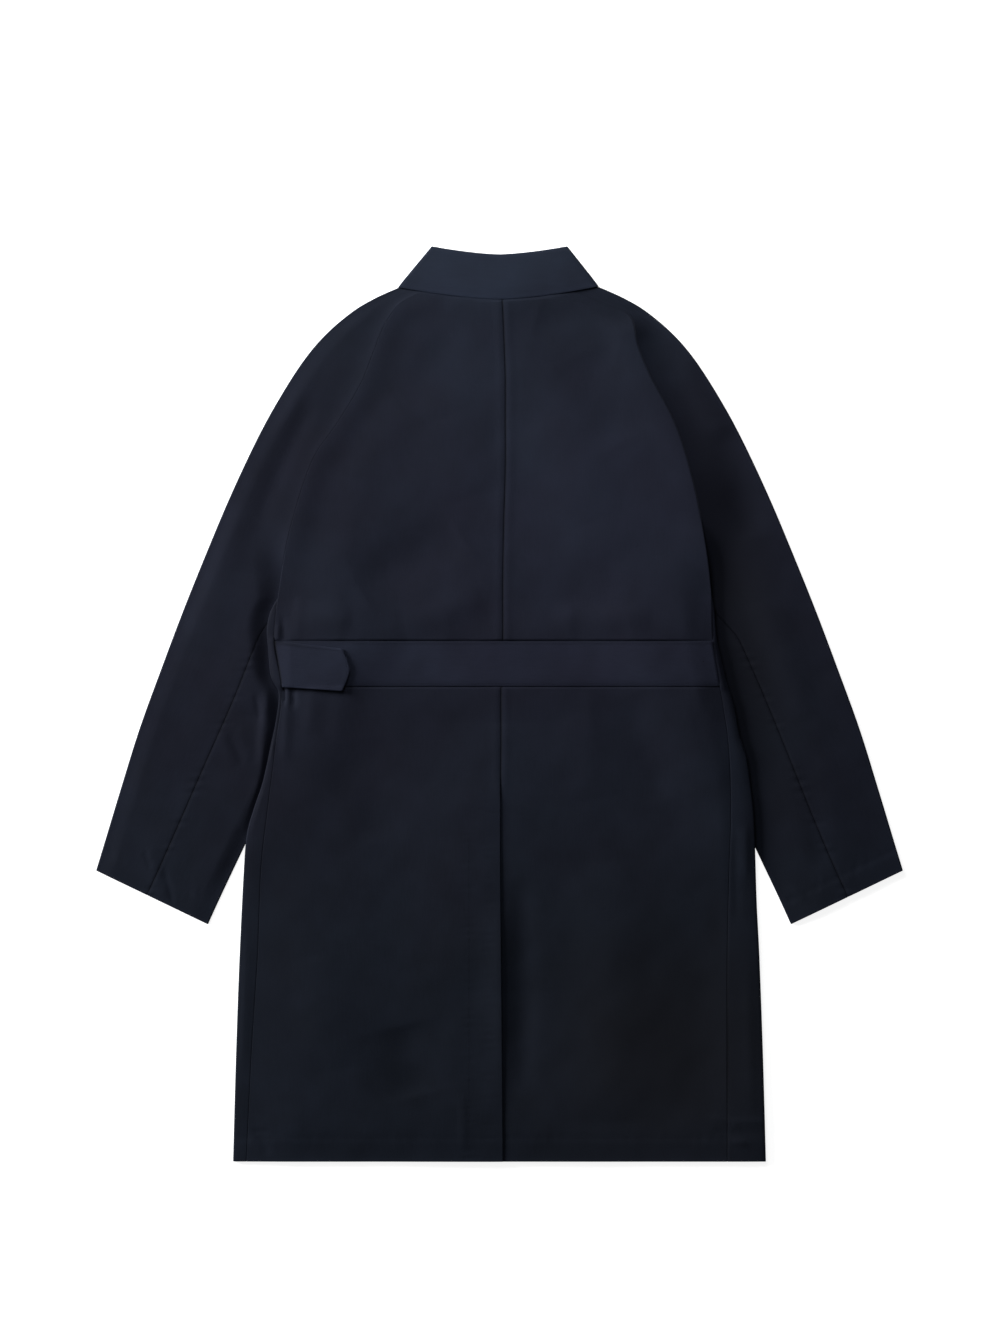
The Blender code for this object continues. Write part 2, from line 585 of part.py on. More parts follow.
def half_belt(name):
    """Half belt: a straight band on the back, from under the tab to the right side seam."""
    v = np.linspace(0, 1, BELT_ROWS + 1)
    start = pairs(np.full_like(v, BELT_START), BELT_TOP + (BELT_BOTTOM - BELT_TOP) * v)
    end_x = BELT_END_TOP + (BELT_END_BOTTOM - BELT_END_TOP) * v
    plan = row_points(start, pairs(end_x, start[:, 1]), np.linspace(0, 1, BELT_COLUMNS + 1))
    on_back = belt_top(plan[..., 0], plan[..., 1])[0]
    return wall_mesh(name, with_height(plan, on_back + BELT_GAP + BAND_WALL / 2), BAND_WALL)


def tab(name):
    """Pointed tab: a band from the left side seam that lies on the belt's end, its tip cut blunt."""
    v = np.linspace(0, 1, TAB_ROWS + 1)
    root_x = TAB_ROOT_TOP + (TAB_ROOT_BOTTOM - TAB_ROOT_TOP) * v
    root_y = TAB_TOP_ROOT + (TAB_BOTTOM_ROOT - TAB_TOP_ROOT) * v
    tip_x = TAB_TIP - TAB_CHAMFER * np.abs(2 * v - 1) ** TAB_TIP_POWER
    tip_y = TAB_TOP_TIP + (TAB_BOTTOM_TIP - TAB_TOP_TIP) * v
    plan = row_points(pairs(root_x, root_y), pairs(tip_x, tip_y), np.linspace(0, 1, TAB_COLUMNS + 1))
    on_back, on_belt = belt_top(plan[..., 0], plan[..., 1])
    start, end = TAB_SETTLE
    raised = smooth((plan[..., 0] - start) / (end - start))
    bottom = on_back + (on_belt - on_back) * raised + BELT_GAP
    return wall_mesh(name, with_height(plan, bottom + BAND_WALL / 2), BAND_WALL)


def main():
    for old in list(bpy.data.objects):
        bpy.data.objects.remove(old)
    cloth = cloth_material("coat cloth", 0.85)
    band = cloth_material("doubled cloth", 0.8)
    panels = [
        back_panel("back_left", LEFT),
        back_panel("back_right", RIGHT),
        front_panel("front_left", LEFT),
        front_panel("front_right", RIGHT),
        sleeve_back("sleeve_left_back", LEFT),
        sleeve_back("sleeve_right_back", RIGHT),
        sleeve_front("sleeve_left_front", LEFT),
        sleeve_front("sleeve_right_front", RIGHT),
    ]
    bands = [collar_band("collar"), half_belt("belt"), tab("belt_tab")]
    for piece in panels:
        piece.data.materials.append(cloth)
    for piece in bands:
        piece.data.materials.append(band)


main()
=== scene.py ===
"""Looks of a dark navy cotton coat that lies flat with its back up on a white studio floor.

Every piece is a closed shell of cloth about a grid of middle points, with a rounded rim. Metres, +Z up.
+Y runs up to the collar and +X to the wearer's right, as in the part's own frame.
"""

import bpy
import numpy as np
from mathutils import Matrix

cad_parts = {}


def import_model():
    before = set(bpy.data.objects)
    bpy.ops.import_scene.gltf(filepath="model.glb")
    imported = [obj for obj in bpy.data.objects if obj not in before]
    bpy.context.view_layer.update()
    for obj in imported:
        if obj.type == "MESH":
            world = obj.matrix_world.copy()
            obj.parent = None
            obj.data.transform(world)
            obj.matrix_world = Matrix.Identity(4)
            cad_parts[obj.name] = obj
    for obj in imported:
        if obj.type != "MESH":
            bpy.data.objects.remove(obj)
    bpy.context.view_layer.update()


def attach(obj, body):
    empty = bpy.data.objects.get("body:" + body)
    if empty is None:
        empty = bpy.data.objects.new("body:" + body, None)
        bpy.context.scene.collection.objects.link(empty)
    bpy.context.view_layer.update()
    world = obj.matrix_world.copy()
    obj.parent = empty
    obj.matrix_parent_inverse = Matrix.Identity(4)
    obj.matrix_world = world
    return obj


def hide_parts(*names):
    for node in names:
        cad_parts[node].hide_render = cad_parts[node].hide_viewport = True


MM = 0.001
LEFT, RIGHT = -1, 1
SIDE_NAME = {LEFT: "left", RIGHT: "right"}

# Cloth and the way its layers lie on each other, as in the solids
WALL = 1.0 * MM  # one layer of coat cloth
BAND_WALL = 1.8 * MM  # collar, belt and tab, which are doubled
SEAM_GAP = -0.1 * MM  # the rims of pieces sewn edge to edge press into each other
LAP_GAP = 0.4 * MM  # between a piece and the one under it
SLEEVE_GAP = 0.7 * MM  # between a front and the sleeve tucked under it
BELT_GAP = 0.2 * MM  # between the back, the belt and the tab
SEAM_LAP = 3.5 * MM  # how far a sewn edge reaches under its neighbour
FOLD_GAP = 0.8 * MM  # air inside a pressed fold
FOLD_REACH = 1.0 * MM  # how far a fold stands out past its straight runs
UPPER = WALL + FOLD_GAP  # underside of the upper layer at a fold
ON_EDGE = WALL + LAP_GAP  # underside of cloth that lies on one layer
ON_FOLD = UPPER + WALL + LAP_GAP  # underside of cloth that lies on a folded edge
ON_SLEEVE = UPPER + WALL + SLEEVE_GAP  # underside of a front that lies on the tucked sleeve
RIM = 0.45 * MM  # how far a rounded rim stands out past the cloth's edge
SEAM_INSET = SEAM_GAP / 2 + RIM  # from a seam to the edge of the cloth inside its rim
RIM_FOLD = FOLD_REACH + WALL / 2  # from a fold's outermost point to the end of its straight runs

# Loft: how far the upper layers rise away from their folds and seams
BACK_LOFT = 0.8 * MM
BACK_LOFT_WIDTH = {LEFT: 75 * MM, RIGHT: 40 * MM}
BODY_SWELL = 3.0 * MM  # further swell of the body inside its edges
COLLAR_STEP = 2.0 * MM  # the cloth swells away from the collar's edge over this width
FRONT_CALM = 40 * MM  # the fronts' creases fade out over this width towards their edges
SLEEVE_LOFT, SLEEVE_LOFT_WIDTH = 3.0 * MM, 20 * MM
FOLD_OPEN = {LEFT: 0.55, RIGHT: 1.0}  # how much of the loft is left at the sleeve's outer fold
INNER_OPEN = 0.8  # and at its inner one
NECK_LIFT, NECK_LIFT_FROM = 0.6 * MM, 430 * MM
NECK_LIFT_WIDTH = 30 * MM
RAGLAN_ROLL = {LEFT: 2.4 * MM, RIGHT: 0.8 * MM}  # raised roll beside the seam
RAGLAN_ROLL_AT = {LEFT: 5 * MM, RIGHT: 6 * MM}
RAGLAN_ROLL_WIDTH = 18 * MM
RAGLAN_BLEND = {LEFT: 45 * MM, RIGHT: 75 * MM}  # the sleeve leaves the back's height over this width
PARTING = {LEFT: 0.7, RIGHT: 1.3}  # stations above the underarm where the sleeve starts to slip under
UNDERARM_TUCK = 0.2  # stations below the underarm where it comes out from the back
SLIP_FROM, SLIP_OVER = 0.65, 0.4  # it slips under below this share of being sewn, over this much of it
LIFT_CLEAR = 12 * MM  # its lift to the back's height fades out this close to its outer fold
RAGLAN_END = 120 * MM  # level where the roll fades out at the underarm
RAGLAN_BEND, RAGLAN_BEND_FADE = 425 * MM, 30 * MM  # and where it fades out towards the collar
RIGHT_RAMP, RIGHT_RAMP_WIDTH = 4.5 * MM, 210 * MM  # the right back rises towards the raglan seam
EDGE_RAISE = {LEFT: 0.0, RIGHT: 2.3 * MM}  # the body's edge stands up beside the sleeve
EDGE_RAISE_WIDTH = 80 * MM
EDGE_RAISE_FROM, EDGE_RAISE_TO = -100 * MM, 190 * MM
EDGE_RAISE_FADE = 70 * MM
SIDE_FOLD_OPEN, BESIDE_SLEEVE_OPEN = 0.75, 0.5  # how near the side fold comes to the back's height
FOLD_RAISE = 0.7  # share of the raised edge's height that the side fold gains
FLUSH_FROM, FLUSH_OVER = 3 * MM, 4 * MM  # the side seam is sewn flush where its fold is so far outside
WRAP_ARCH, CREASE_FADE = 3, 3  # power of the turned side's arch, and how fast its creases start and end
SEWN_IN = {LEFT: 1.1 * MM, RIGHT: 1.5 * MM}  # lip of the side seam over the tab's root and the belt's end
SEWN_IN_FADE = 7 * MM  # it fades out past the belt's edges

# Fronts, underneath
FRONT_LAP = 35 * MM
FRONT_LAP_END = 2 * MM
FRONT_LAP_RAMP = 25 * MM
NECK_FRONT = 400 * MM
NECK_DEPTH, NECK_HALF, NECK_POWER = 50 * MM, 99 * MM, 2.87
NECK_STATIONS, SLEEVE_NECK_STATIONS = 4, 2  # the neckline's curve fades out over these
NECK_CLEAR = 1.2 * MM
SLEEVE_SEAM_INSET = 14 * MM
RAMP_FRONT, RAMP_BACK = 32 * MM, 80 * MM
RAMP_END = 3 * MM
HIDDEN_HOOK = 30 * MM  # length of the hook's unused rows above the underarm
NOTCH_FADE = 80 * MM

# Centre seam and vent
VENT_STATION = 12
VENT_UNDERLAP = 36 * MM
VENT_WIDTH, VENT_LENGTH = 100 * MM, 45 * MM
FLAP_BULGE, FLAP_BULGE_WIDTH = 1.4 * MM, 34 * MM  # the flap's free edge stands up in a long soft bulge
FLAP_BULGE_AT, FLAP_BULGE_LENGTH = -330 * MM, 130 * MM
SEAM_GROOVE, SEAM_GROOVE_WIDTH = 0.25 * MM, 1.5 * MM
SEAM_SHADE = 0.9 * MM  # half width of the painted shade along a seam's groove
CENTRE_SHADE, UNDERARM_SHADE, SIDE_SHADE = 0.8, 0.65, 0.22  # and how dark that painted shade is
SKIRT_SHADE, SKIRT_SHADE_AT, SKIRT_SHADE_LENGTH = 0.7, -395 * MM, 85 * MM  # more painted shade down the right side seam: how much, where and over what length
CENTRE_SHADE_FADE = 0.25  # stations over which the centre seam's painted shade ends at the vent
# painted shade along the raglan seams
RAGLAN_SHADE = {LEFT: 0.05, RIGHT: 0.6}
COLLAR_FAINT, FAINT_STATIONS = 0.3, 1.5  # how much of it is left at the collar, and down to where
# painted shade along the side seam where the tab's root and the belt's end are sewn in
SEWN_IN_SHADE = {LEFT: 1.0, RIGHT: 0.0}
FOLD_SHADE = {LEFT: 0.45, RIGHT: 0.15}  # painted shade on the side fold beside the sleeve, where the sleeve shadows it
FOLD_SHADE_WIDTH = 4 * MM
SEAM_RIDGE, SEAM_RIDGE_AT, SEAM_RIDGE_WIDTH = 0.3 * MM, 6 * MM, 4 * MM  # allowances pressed open inside
PUCKER, PUCKER_PITCH, PUCKER_WIDTH = 0.16 * MM, 11 * MM, 7 * MM
PITCH_DRIFT, PITCH_DRIFT_LENGTH = 1.9, 3.1  # how far the waves drift, in radians, and how slowly
GROUP_LENGTH, GROUP_DRIFT, GROUP_DRIFT_LENGTH = 4.3, 2.0, 2.1  # and their groups, of so many each
FACING_LINES = (-35.5 * MM, -12 * MM)  # the vent's facing puckers along these two lines,
FACING_PUCKER, FACING_STRETCH = 2.4, 1.3  # this much stronger and closer
SLEEVE_PUCKER, SEAM_FADE_IN = 3.6, 0.5  # the sleeves' seams pucker more, from below the underarm on

# Hems of the body and the sleeves
HEM_DEPTH, CUFF_DEPTH = 27 * MM, 25 * MM
HEM_STEP, HEM_STEP_WIDTH = 0.3 * MM, 6 * MM  # the turned-up layer lifts the cloth below the stitches
HEM_GROOVE, HEM_GROOVE_WIDTH, HEM_STRETCH = 0.2 * MM, 2.4 * MM, 0.8
HEM_WEAR = 4 * MM  # width of the worn edge of hems and cuffs
FOLD_WEAR, FOLD_WEAR_WIDTH = 0.7, 9 * MM  # wear of the sleeves' outer folds
INNER_WEAR, INNER_WEAR_WIDTH = 0.2, 6 * MM  # and of their inner ones
HEM_DROOP, HEM_DROOP_WIDTH = 1.6 * MM, 34 * MM  # the back sinks towards its hem

# Collar
COLLAR_FOLD_FOOT = {LEFT: (116 * MM, 479 * MM), RIGHT: (113.5 * MM, 480 * MM)}
COLLAR_FOOT_HALF, COLLAR_FOOT_LEVEL = 117 * MM, 480.5 * MM  # of the curve of its lower edge
COLLAR_FOLD_TOP = (77.5 * MM, 525.5 * MM)
COLLAR_SEAM, COLLAR_SEAM_POWER = 465.5 * MM, 1.6
COLLAR_TOP, COLLAR_TOP_POWER = 516.6 * MM, 1.5
COLLAR_FRONT_HEIGHT = 50 * MM
COLLAR_END_GAP = 0.5 * MM
COLLAR_FOOT_BLEND = 6  # power with which the front's lower edge leaves the fold's foot
COLLAR_FOOT_Z, COLLAR_TOP_Z = 6.8 * MM, 3.4 * MM
COLLAR_EDGE, COLLAR_WEAR = 8, 12  # pressed over an eighth of its width, and worn over a twelfth
COLLAR_CROWN, COLLAR_CROWN_POWER = 0.9 * MM, 4  # the band stands up a little between its edges

# Half belt and tab
BELT_TOP, BELT_BOTTOM = 71.5 * MM, 20.5 * MM
BELT_START = -234 * MM
BELT_POINT, BELT_POINT_DEPTH = 15 * MM, 0.08  # its upper corner runs on in a point beside the tab
BELT_END_TOP, BELT_END_BOTTOM = 244.2 * MM, 252.6 * MM
BELT_PRESS, BELT_PRESS_EDGE = 0.6 * MM, 3.5 * MM  # it presses the back down, fading out past its edges
BLOUSE, BLOUSE_STEEP, BLOUSE_LENGTH = 1.4 * MM, 3 * MM, 46 * MM  # the back billows over its upper edge
SKIRT_BILLOW, SKIRT_STEEP, SKIRT_LENGTH = 0.7 * MM, 3.0 * MM, 60 * MM  # and under its lower edge
BLOUSE_WAVE, BLOUSE_LEVEL = 137 * MM, 0.72  # in uneven waves of this length about this level:
BLOUSE_WAVES = ((0.18, 1.0, 0.6), (0.1, 2.3, 2.0))  # height, number in the length, and start
BELT_EDGE = 12  # its lower edge is pressed over a twelfth of its width
BELT_SHADE, BELT_SHADE_EDGE = 0.5, 24  # painted shade along its upper edge: this dark over a twenty-fourth
EDGE_PRESS = 0.7 * MM  # the lower edges of belt and collar are pressed thinner
TAB_ROOT_TOP, TAB_ROOT_BOTTOM = -258 * MM, -249.4 * MM
TAB_TIP = -172 * MM
TAB_CHAMFER, TAB_TIP_POWER = 9 * MM, 1.4
TAB_TOP_ROOT, TAB_TOP_TIP = 71.5 * MM, 63 * MM
TAB_BOTTOM_ROOT, TAB_BOTTOM_TIP = 19.5 * MM, 15 * MM
TAB_SETTLE = (-258 * MM, -238 * MM)
TAB_CURL, TAB_CURL_LENGTH = 1.3 * MM, 34 * MM  # the tip stands up off the belt
TAB_SHADE, TAB_SHADE_EDGE = 0.6, 18  # painted shade along its upper edge, fading out towards the tip
TAB_SIDE_WEAR, TAB_TIP_WEAR = 14, 20  # its lower edge is worn over a fourteenth, its tip over a twentieth
ROOT_GAP = 0.2 * MM  # between the back and the tab's root

# Stitches
STITCH, STITCH_STEP, THREAD = 2.6 * MM, 3.4 * MM, 0.24 * MM  # length, pitch and half thickness
STITCH_SINK = 0.28 * MM
TACK_THREAD = 0.6 * MM  # half thickness of the bar tack at the belt's end
BEAD_RINGS, BEAD_SIDES, BEAD_END = 5, 6, 0.03  # a stitch, and the share of it cut off at its ends
TAB_STITCH_INSET, TAB_STITCH_FROM, TAB_STITCH_TO = 0.055, 0.06, 0.965  # shares of the tab's sizes
STITCH_PATH_POINTS, TAB_STITCH_POINTS = 400, 40

# Rows of stitches: name, start and end in millimetres, and those of the belt with thread and depth
BACK_STITCHES = (
    ("facing_stitches", (-35.5, -148), (-35.5, -512)),
    ("vent_bar_stitches", (-34, -118), (-1, -125)),
    ("left_hem_stitches", (-288, -499), (-2, -499)),
    ("right_hem_stitches", (6, -499), (259, -499)),
)
BELT_STITCHES = (
    ("belt_upper_stitches", (-168, 68.9), (242.2, 68.9), THREAD, 0.0),
    ("belt_lower_stitches", (-176, 23.1), (250.6, 23.1), THREAD, 0.0),
    ("belt_bar_tack", (232.3, 48.6), (235.7, 48.2), TACK_THREAD, TACK_THREAD),
)

# Grids
ROW_STEP = 3.2 * MM
FINE = np.array([0, 0.6, 1.3, 2.2, 3.4, 5, 7, 9.5, 12.5]) * MM  # columns beside a seam
FINE_SHARE = 0.7  # the most of a row that they take up
BARE = np.array([0, 1.5]) * MM  # columns beside a hidden edge
BELT_ROWS_BESIDE = np.array([0, 0.7, 1.4, 2.2, 3.0, 4.0, 5.2, 7]) * MM  # rows of the back past the belt
BACK_COLUMNS, UNDERLAP_COLUMNS = 64, 10
FRONT_COLUMNS, WRAP_COLUMNS = 56, 12
SLEEVE_COLUMNS, SLEEVE_FLOOR_COLUMNS, OVERARM_COLUMNS = 34, 22, 4
COLLAR_ROWS, COLLAR_BACK_COLUMNS, COLLAR_FRONT_COLUMNS = 20, 90, 36
BELT_ROWS, BELT_COLUMNS = 20, 190
TAB_ROWS, TAB_COLUMNS = 24, 40
FOLD_STEPS = 10
RIM_STEPS = 4
EDGE_SAMPLES = 250
PATH_POINTS = 60


def table(names, *rows):
    """Rows given in millimetres, as one array in metres for each named column."""
    values = np.array(rows, float) * MM
    return {name: values[:, i] for i, name in enumerate(names.split())}


# Stations down the body, from the neck to the hem. Station 8 is the underarm and 12 the top of the vent.
BACK = table(
    "centre_x centre_y left_x left_y right_x right_y",
    (3, 468, 86, 475, 86, 475),
    (4, 453, 114, 460, 118, 460),
    (5, 432, 132, 436, 150, 446),
    (6, 406, 144, 407, 159, 412),
    (7, 373, 160, 367, 173, 378),
    (7, 322, 187, 322, 201, 324),
    (7, 272, 216, 278, 219, 269),
    (5, 200, 241, 200, 234, 200),
    (4, 134, 253, 134, 243, 134),
    (4, 74, 259, 74, 245, 74),
    (2, 16, 250, 16, 254, 16),
    (2, -45, 257, -45, 263, -45),
    (1, -118, 266, -118, 266, -118),
    (1, -190, 274, -190, 264, -190),
    (2, -290, 278, -290, 262, -290),
    (3, -400, 285, -400, 262, -400),
    (4, -526, 291, -526, 262, -526),
)

# Outer edges of the fronts at the same stations: hidden raglan seams, then side folds from the underarm
FRONT = table(
    "centre_y left_x left_y right_x right_y",
    (400, 106, 449, 106, 449),
    (385, 111, 428, 111, 428),
    (367, 116, 405, 116, 405),
    (345, 122, 375, 122, 375),
    (320, 130, 342, 130, 342),
    (288, 140, 300, 140, 300),
    (252, 149, 258, 149, 258),
    (200, 158, 205, 158, 205),
    (134, 259, 134, 249, 134),
    (74, 266, 74, 251, 74),
    (16, 256, 16, 263, 16),
    (-45, 263, -45, 278, -45),
    (-118, 284, -118, 291, -118),
    (-190, 294, -190, 294, -190),
    (-290, 299, -290, 299, -290),
    (-400, 303, -400, 303, -400),
    (-526, 306.5, -526, 306.5, -526),
)

# Side folds as they show, from the underarm to the hem: level, and distance from the centre line
SIDE_FOLD = {
    LEFT: table(
        "y x",
        (140, 243), (130, 249), (118, 257), (104, 264), (85, 267.5), (62, 266),
        (32, 263), (12, 254), (-19, 257), (-47, 263), (-70, 267.5), (-93, 273),
        (-118, 281.5), (-148, 290), (-190, 294), (-290, 299), (-400, 303), (-526, 306.5),
    ),
    RIGHT: table(
        "y x",
        (140, 238), (130, 241.5), (112, 246.5), (77, 249.5), (48, 255.5), (25, 261),
        (-3, 269.5), (-37, 276), (-62, 284), (-90, 288), (-124, 292), (-163, 293.8),
        (-230, 296), (-290, 299), (-400, 303), (-526, 306.5),
    ),
}

# Stations down the sleeve: outer fold, hidden raglan seam and then inner fold, and the underarm seam's
# place between them, in thousandths of the way from the outer fold. Its straight run starts at SHOULDER.
SLEEVE = table(
    "over_x over_y under_x under_y left_seam right_seam",
    (114, 479, 98, 449, 0, 0),
    (142, 466.5, 103, 428, 0, 0),
    (169, 450.5, 108, 405, 0, 0),
    (200, 424, 114, 375, 0, 0),
    (226, 393, 122, 342, 0, 0),
    (254, 349, 132, 300, 0, 0),
    (279, 303, 141, 258, 0, 0),
    (309, 239, 150, 205, 0, 0),
    (336, 175, 165, 98, 485, 540),
    (363, 108, 195, 36, 500, 512),
    (389, 39, 228, -30, 514, 511),
    (414, -30, 261, -96, 510, 520),
    (435.5, -99, 293, -162, 495, 520),
    (453, -157, 320, -219, 475, 508),
    (463.5, -191.5, 335.5, -253, 456, 490),
)
SHOULDER, UNDERARM, NOTCH = 4, 8, 12

# The sleeves beside the body: level, how far they stay low past its edge, and the width of their rise
SLEEVE_PARTING = {
    LEFT: table("y low rise", (200, 0, 45), (120, 1, 24), (20, 1, 18), (-24, 0, 7), (-160, 0, 3)),
    RIGHT: table("y low rise", (200, 0, 60), (120, 9, 70), (60, 18, 80), (-60, 16, 80), (-110, 8, 70)),
}
CUFF = len(SLEEVE["over_x"]) - 1
HEM = len(BACK["centre_x"]) - 1
VENT_TOP = BACK["centre_y"][VENT_STATION]
HEM_LEVEL = BACK["centre_y"][HEM]

# Soft folds: two ends, half width and height in millimetres. A negative height is a trough.
FOLD = "x0 y0 x1 y1 width height"
FOLD_TAPER = 0.85  # how much of its height a fold loses at its two ends
BACK_FOLDS = table(
    FOLD,
    (-160, 132, -45, 196, 30, -3.4),
    (-110, 92, -20, 122, 18, 1.8),
    (-52, 425, -120, 345, 32, -2.4),
    (44, 447, 140, 416, 24, -1.8),
    (92, 400, 140, 300, 30, -1.7),
    (-235, 100, -170, 96, 14, 1.4),
    (60, 99, 175, 98, 14, 1.4),
    (0, -20, 0, -330, 70, 3.4),
    (-215, -290, -185, -420, 30, 1.5),
    (-112, -370, -92, -450, 34, -2.5),
    (-235, -250, -250, -470, 20, -0.5),
    (128, -180, 134, -480, 44, 3.1),
    (236, -200, 238, -480, 36, -2.0),
    (3, -230, 4, -420, 12, 1.6),
    (26, -200, 26, -450, 15, -1.8),
    (60, 330, 110, 210, 40, 1.3),
    (-60, 330, -30, 240, 36, 1.1),
    (-150, -40, -140, -160, 26, -1.4),
    (150, 10, 190, -110, 26, -1.5),
    (90, -10, 110, -110, 24, 1.3),
)

# Gathers above and below the belt, and small sharp creases
BACK_CREASES = table(
    FOLD,
    (-236, 68, -228, 124, 6, 0.6),
    (-186, 68, -180, 108, 7, 0.3),
    (-62, 68, -58, 112, 8, 0.3),
    (82, 68, 80, 114, 7, 0.4),
    (152, 68, 150, 112, 7, 0.3),
    (222, 68, 230, 116, 7, -0.3),
    (-214, 24, -220, -34, 7, 0.6),
    (-196, 24, -200, -48, 9, -0.5),
    (102, 24, 106, -40, 9, 0.4),
    (214, 24, 226, -52, 8, 0.3),
    (226, 24, 230, -14, 6, 0.35),
    (-250, 100, -247, 70, 3, -1.0),
    (-254, 92, -256, 66, 3, 1.0),
    (-248, 20, -247, 0, 3, -2.2),
    (-238, 20, -237, -4, 3.5, -2.4),
    (-285, -491, -264, -493, 2.5, -0.8),
    (-275, -497, -266, -519, 4, -0.9),
    (-258, -499, -240, -503, 3, 0.5),
    (244, -474, 266, -482, 3, 0.7),
    (246, -490, 266, -494, 3, -0.6),
    (-243, 16, -247, -66, 6, 1.2),
    (-42, -448, -42, -514, 3, 0.7),
)
SLEEVE_FOLDS = table(
    FOLD,
    (-266, 150, -273, -14, 40, 2.6),
    (-214, 352, -279, 205, 15, -2.4),
    (-267, 14, -274, -74, 6, 2.0),
    (-281, 11, -275, -19, 2.5, -0.9),
    (-312, -35, -295, -68, 2.5, -0.5),
    (-322, -32, -304, -72, 8, 0.8),
    (-300, -28, -285, -66, 7, 0.6),
    (-268, -90, -292, -150, 9, 1.7),
    (-300, 230, -345, 60, 20, 1.3),
    (-390, 40, -425, -60, 22, 1.0),
    (-405, -165, -385, -225, 9, 0.8),
    (-409, -170, -400, -188, 2.5, -1.0),
    (-386, -188, -375, -230, 2.5, -0.8),
    (256, 318, 284, 190, 26, -2.0),
    (262, 160, 285, 60, 14, -1.3),
    (300, 120, 350, -20, 18, 1.6),
    (350, -60, 372, -190, 16, -1.3),
    (385, 40, 425, -70, 22, 1.2),
    (326, -212, 352, -222, 5, 1.2),
    (205, 395, 255, 300, 16, 0.9),
    (-205, 395, -255, 300, 16, 0.9),
    (300, -90, 320, -130, 8, 0.9),
)
WRAP_FOLDS = table(
    FOLD,
    (-262, 10, -266, -62, 5, 1.1),
    (-276, -96, -292, -150, 7, 0.8),
    (282, -140, 284, -200, 7, 0.9),
    (268, -150, 272, -250, 6, -0.5),
    (-292, -260, -296, -420, 8, 0.5),
    (286, -300, 290, -470, 8, 0.5),
    (258, -482, 274, -487, 3, 0.9),
    (258, -500, 286, -506, 3, 1.0),
)

# Creases of the fronts, which lie on the floor, so that all of them stand up into the coat
FRONT_FOLDS = table(
    FOLD,
    (-120, 250, -60, 150, 16, 0.5),
    (110, 240, 60, 120, 18, 0.5),
    (-170, -80, -190, -330, 20, 0.6),
    (150, -60, 190, -300, 22, 0.6),
    (90, -240, 70, -480, 16, 0.5),
    (-90, -260, -80, -490, 18, 0.5),
    (-200, 40, -130, 20, 10, 0.5),
    (200, 30, 130, 12, 10, 0.5),
)

# Long low ripples: length in metres, direction, start, and height in millimetres
RIPPLES = (
    (0.145, 0.35, 0.4, 0.22),
    (0.096, 1.25, 2.1, 0.16),
    (0.071, 2.05, 4.0, 0.12),
    (0.052, 0.85, 1.2, 0.08),
    (0.034, 2.60, 5.3, 0.05),
)
RIPPLE_BEND, RIPPLE_BEND_LENGTH = 0.35, 2.7  # their crests bend to and fro over so many of their lengths

# Weave, nap and shine of the cloth
RIB_PITCH, RIB_SLANT, SLUB_STRETCH = 0.62 * MM, 0.6, 0.06
CLOUD, BLOTCH, GRIT = (5.0, 3.0), (26.0, 4.0), (420.0, 3.0)  # scale and detail of each noise
SLUB, PLY = (900.0, 2.0), (1600.0, 1.0)
NOISE_ROUGHNESS = 0.55
RIB_RELIEF, GRIT_RELIEF, SLUB_RELIEF = 0.2, 0.7, 0.5
BUMP, BUMP_DEPTH = 0.35, 0.25 * MM
ROUGH, ROUGH_GRIT, ROUGH_BLOTCH = 0.74, 0.18, 0.1
SPECULAR, SHEEN, SHEEN_ROUGHNESS, SHEEN_TINT = 0.06, 0.04, 0.45, (0.55, 0.65, 1.0, 1.0)
THREAD_ROUGH, THREAD_ROUGH_PLY, THREAD_SPECULAR = 0.5, 0.2, 0.05

# Dye: how pale it is, between its deep and pale colours, and how cool, between purple and teal
PALE, PALE_CLOUD, PALE_BLOTCH, PALE_SLUB, PALE_WORN = 0.26, 1.0, 0.5, 0.35, 0.14
COOL, COOL_RISE, COOL_CLOUD = 0.3, 5.0, 1.8
CHEST_LEVEL = 0.12  # it is most purple here, and turns to teal above and below
DEEP_PURPLE = (0.0048, 0.0052, 0.0100)
DEEP_TEAL = (0.0040, 0.0056, 0.0096)
PALE_PURPLE = (0.0112, 0.0122, 0.0232)
PALE_TEAL = (0.0094, 0.0128, 0.0220)
# Painted shade: how far the shaded parts go towards this dark navy
PAINTED_SHADE_DARKNESS, PAINTED_SHADE_NAVY = 0.85, (0.0006, 0.0009, 0.0022)
# BAND_TONE dyes collar, belt and tab lighter: painted light for the raised collar, which catches more
# light, and the same lighter tone on belt and tab
CLOTH_TONE, BAND_TONE, THREAD_TONE, DARK_THREAD_TONE = 1.0, 1.45, 0.65, 0.15

# Painted light on the right shoulder blade and below the collar, and painted shade under the right arm:
# middle, width and strength
LIGHT_AND_SHADE_PATCHES = (
    ((0.12, 0.24, 0.0), 0.2, 0.5),
    ((0.29, 0.0, 0.0), 0.1, -0.2),
    ((-0.05, 0.45, 0.0), 0.085, 0.3),
)

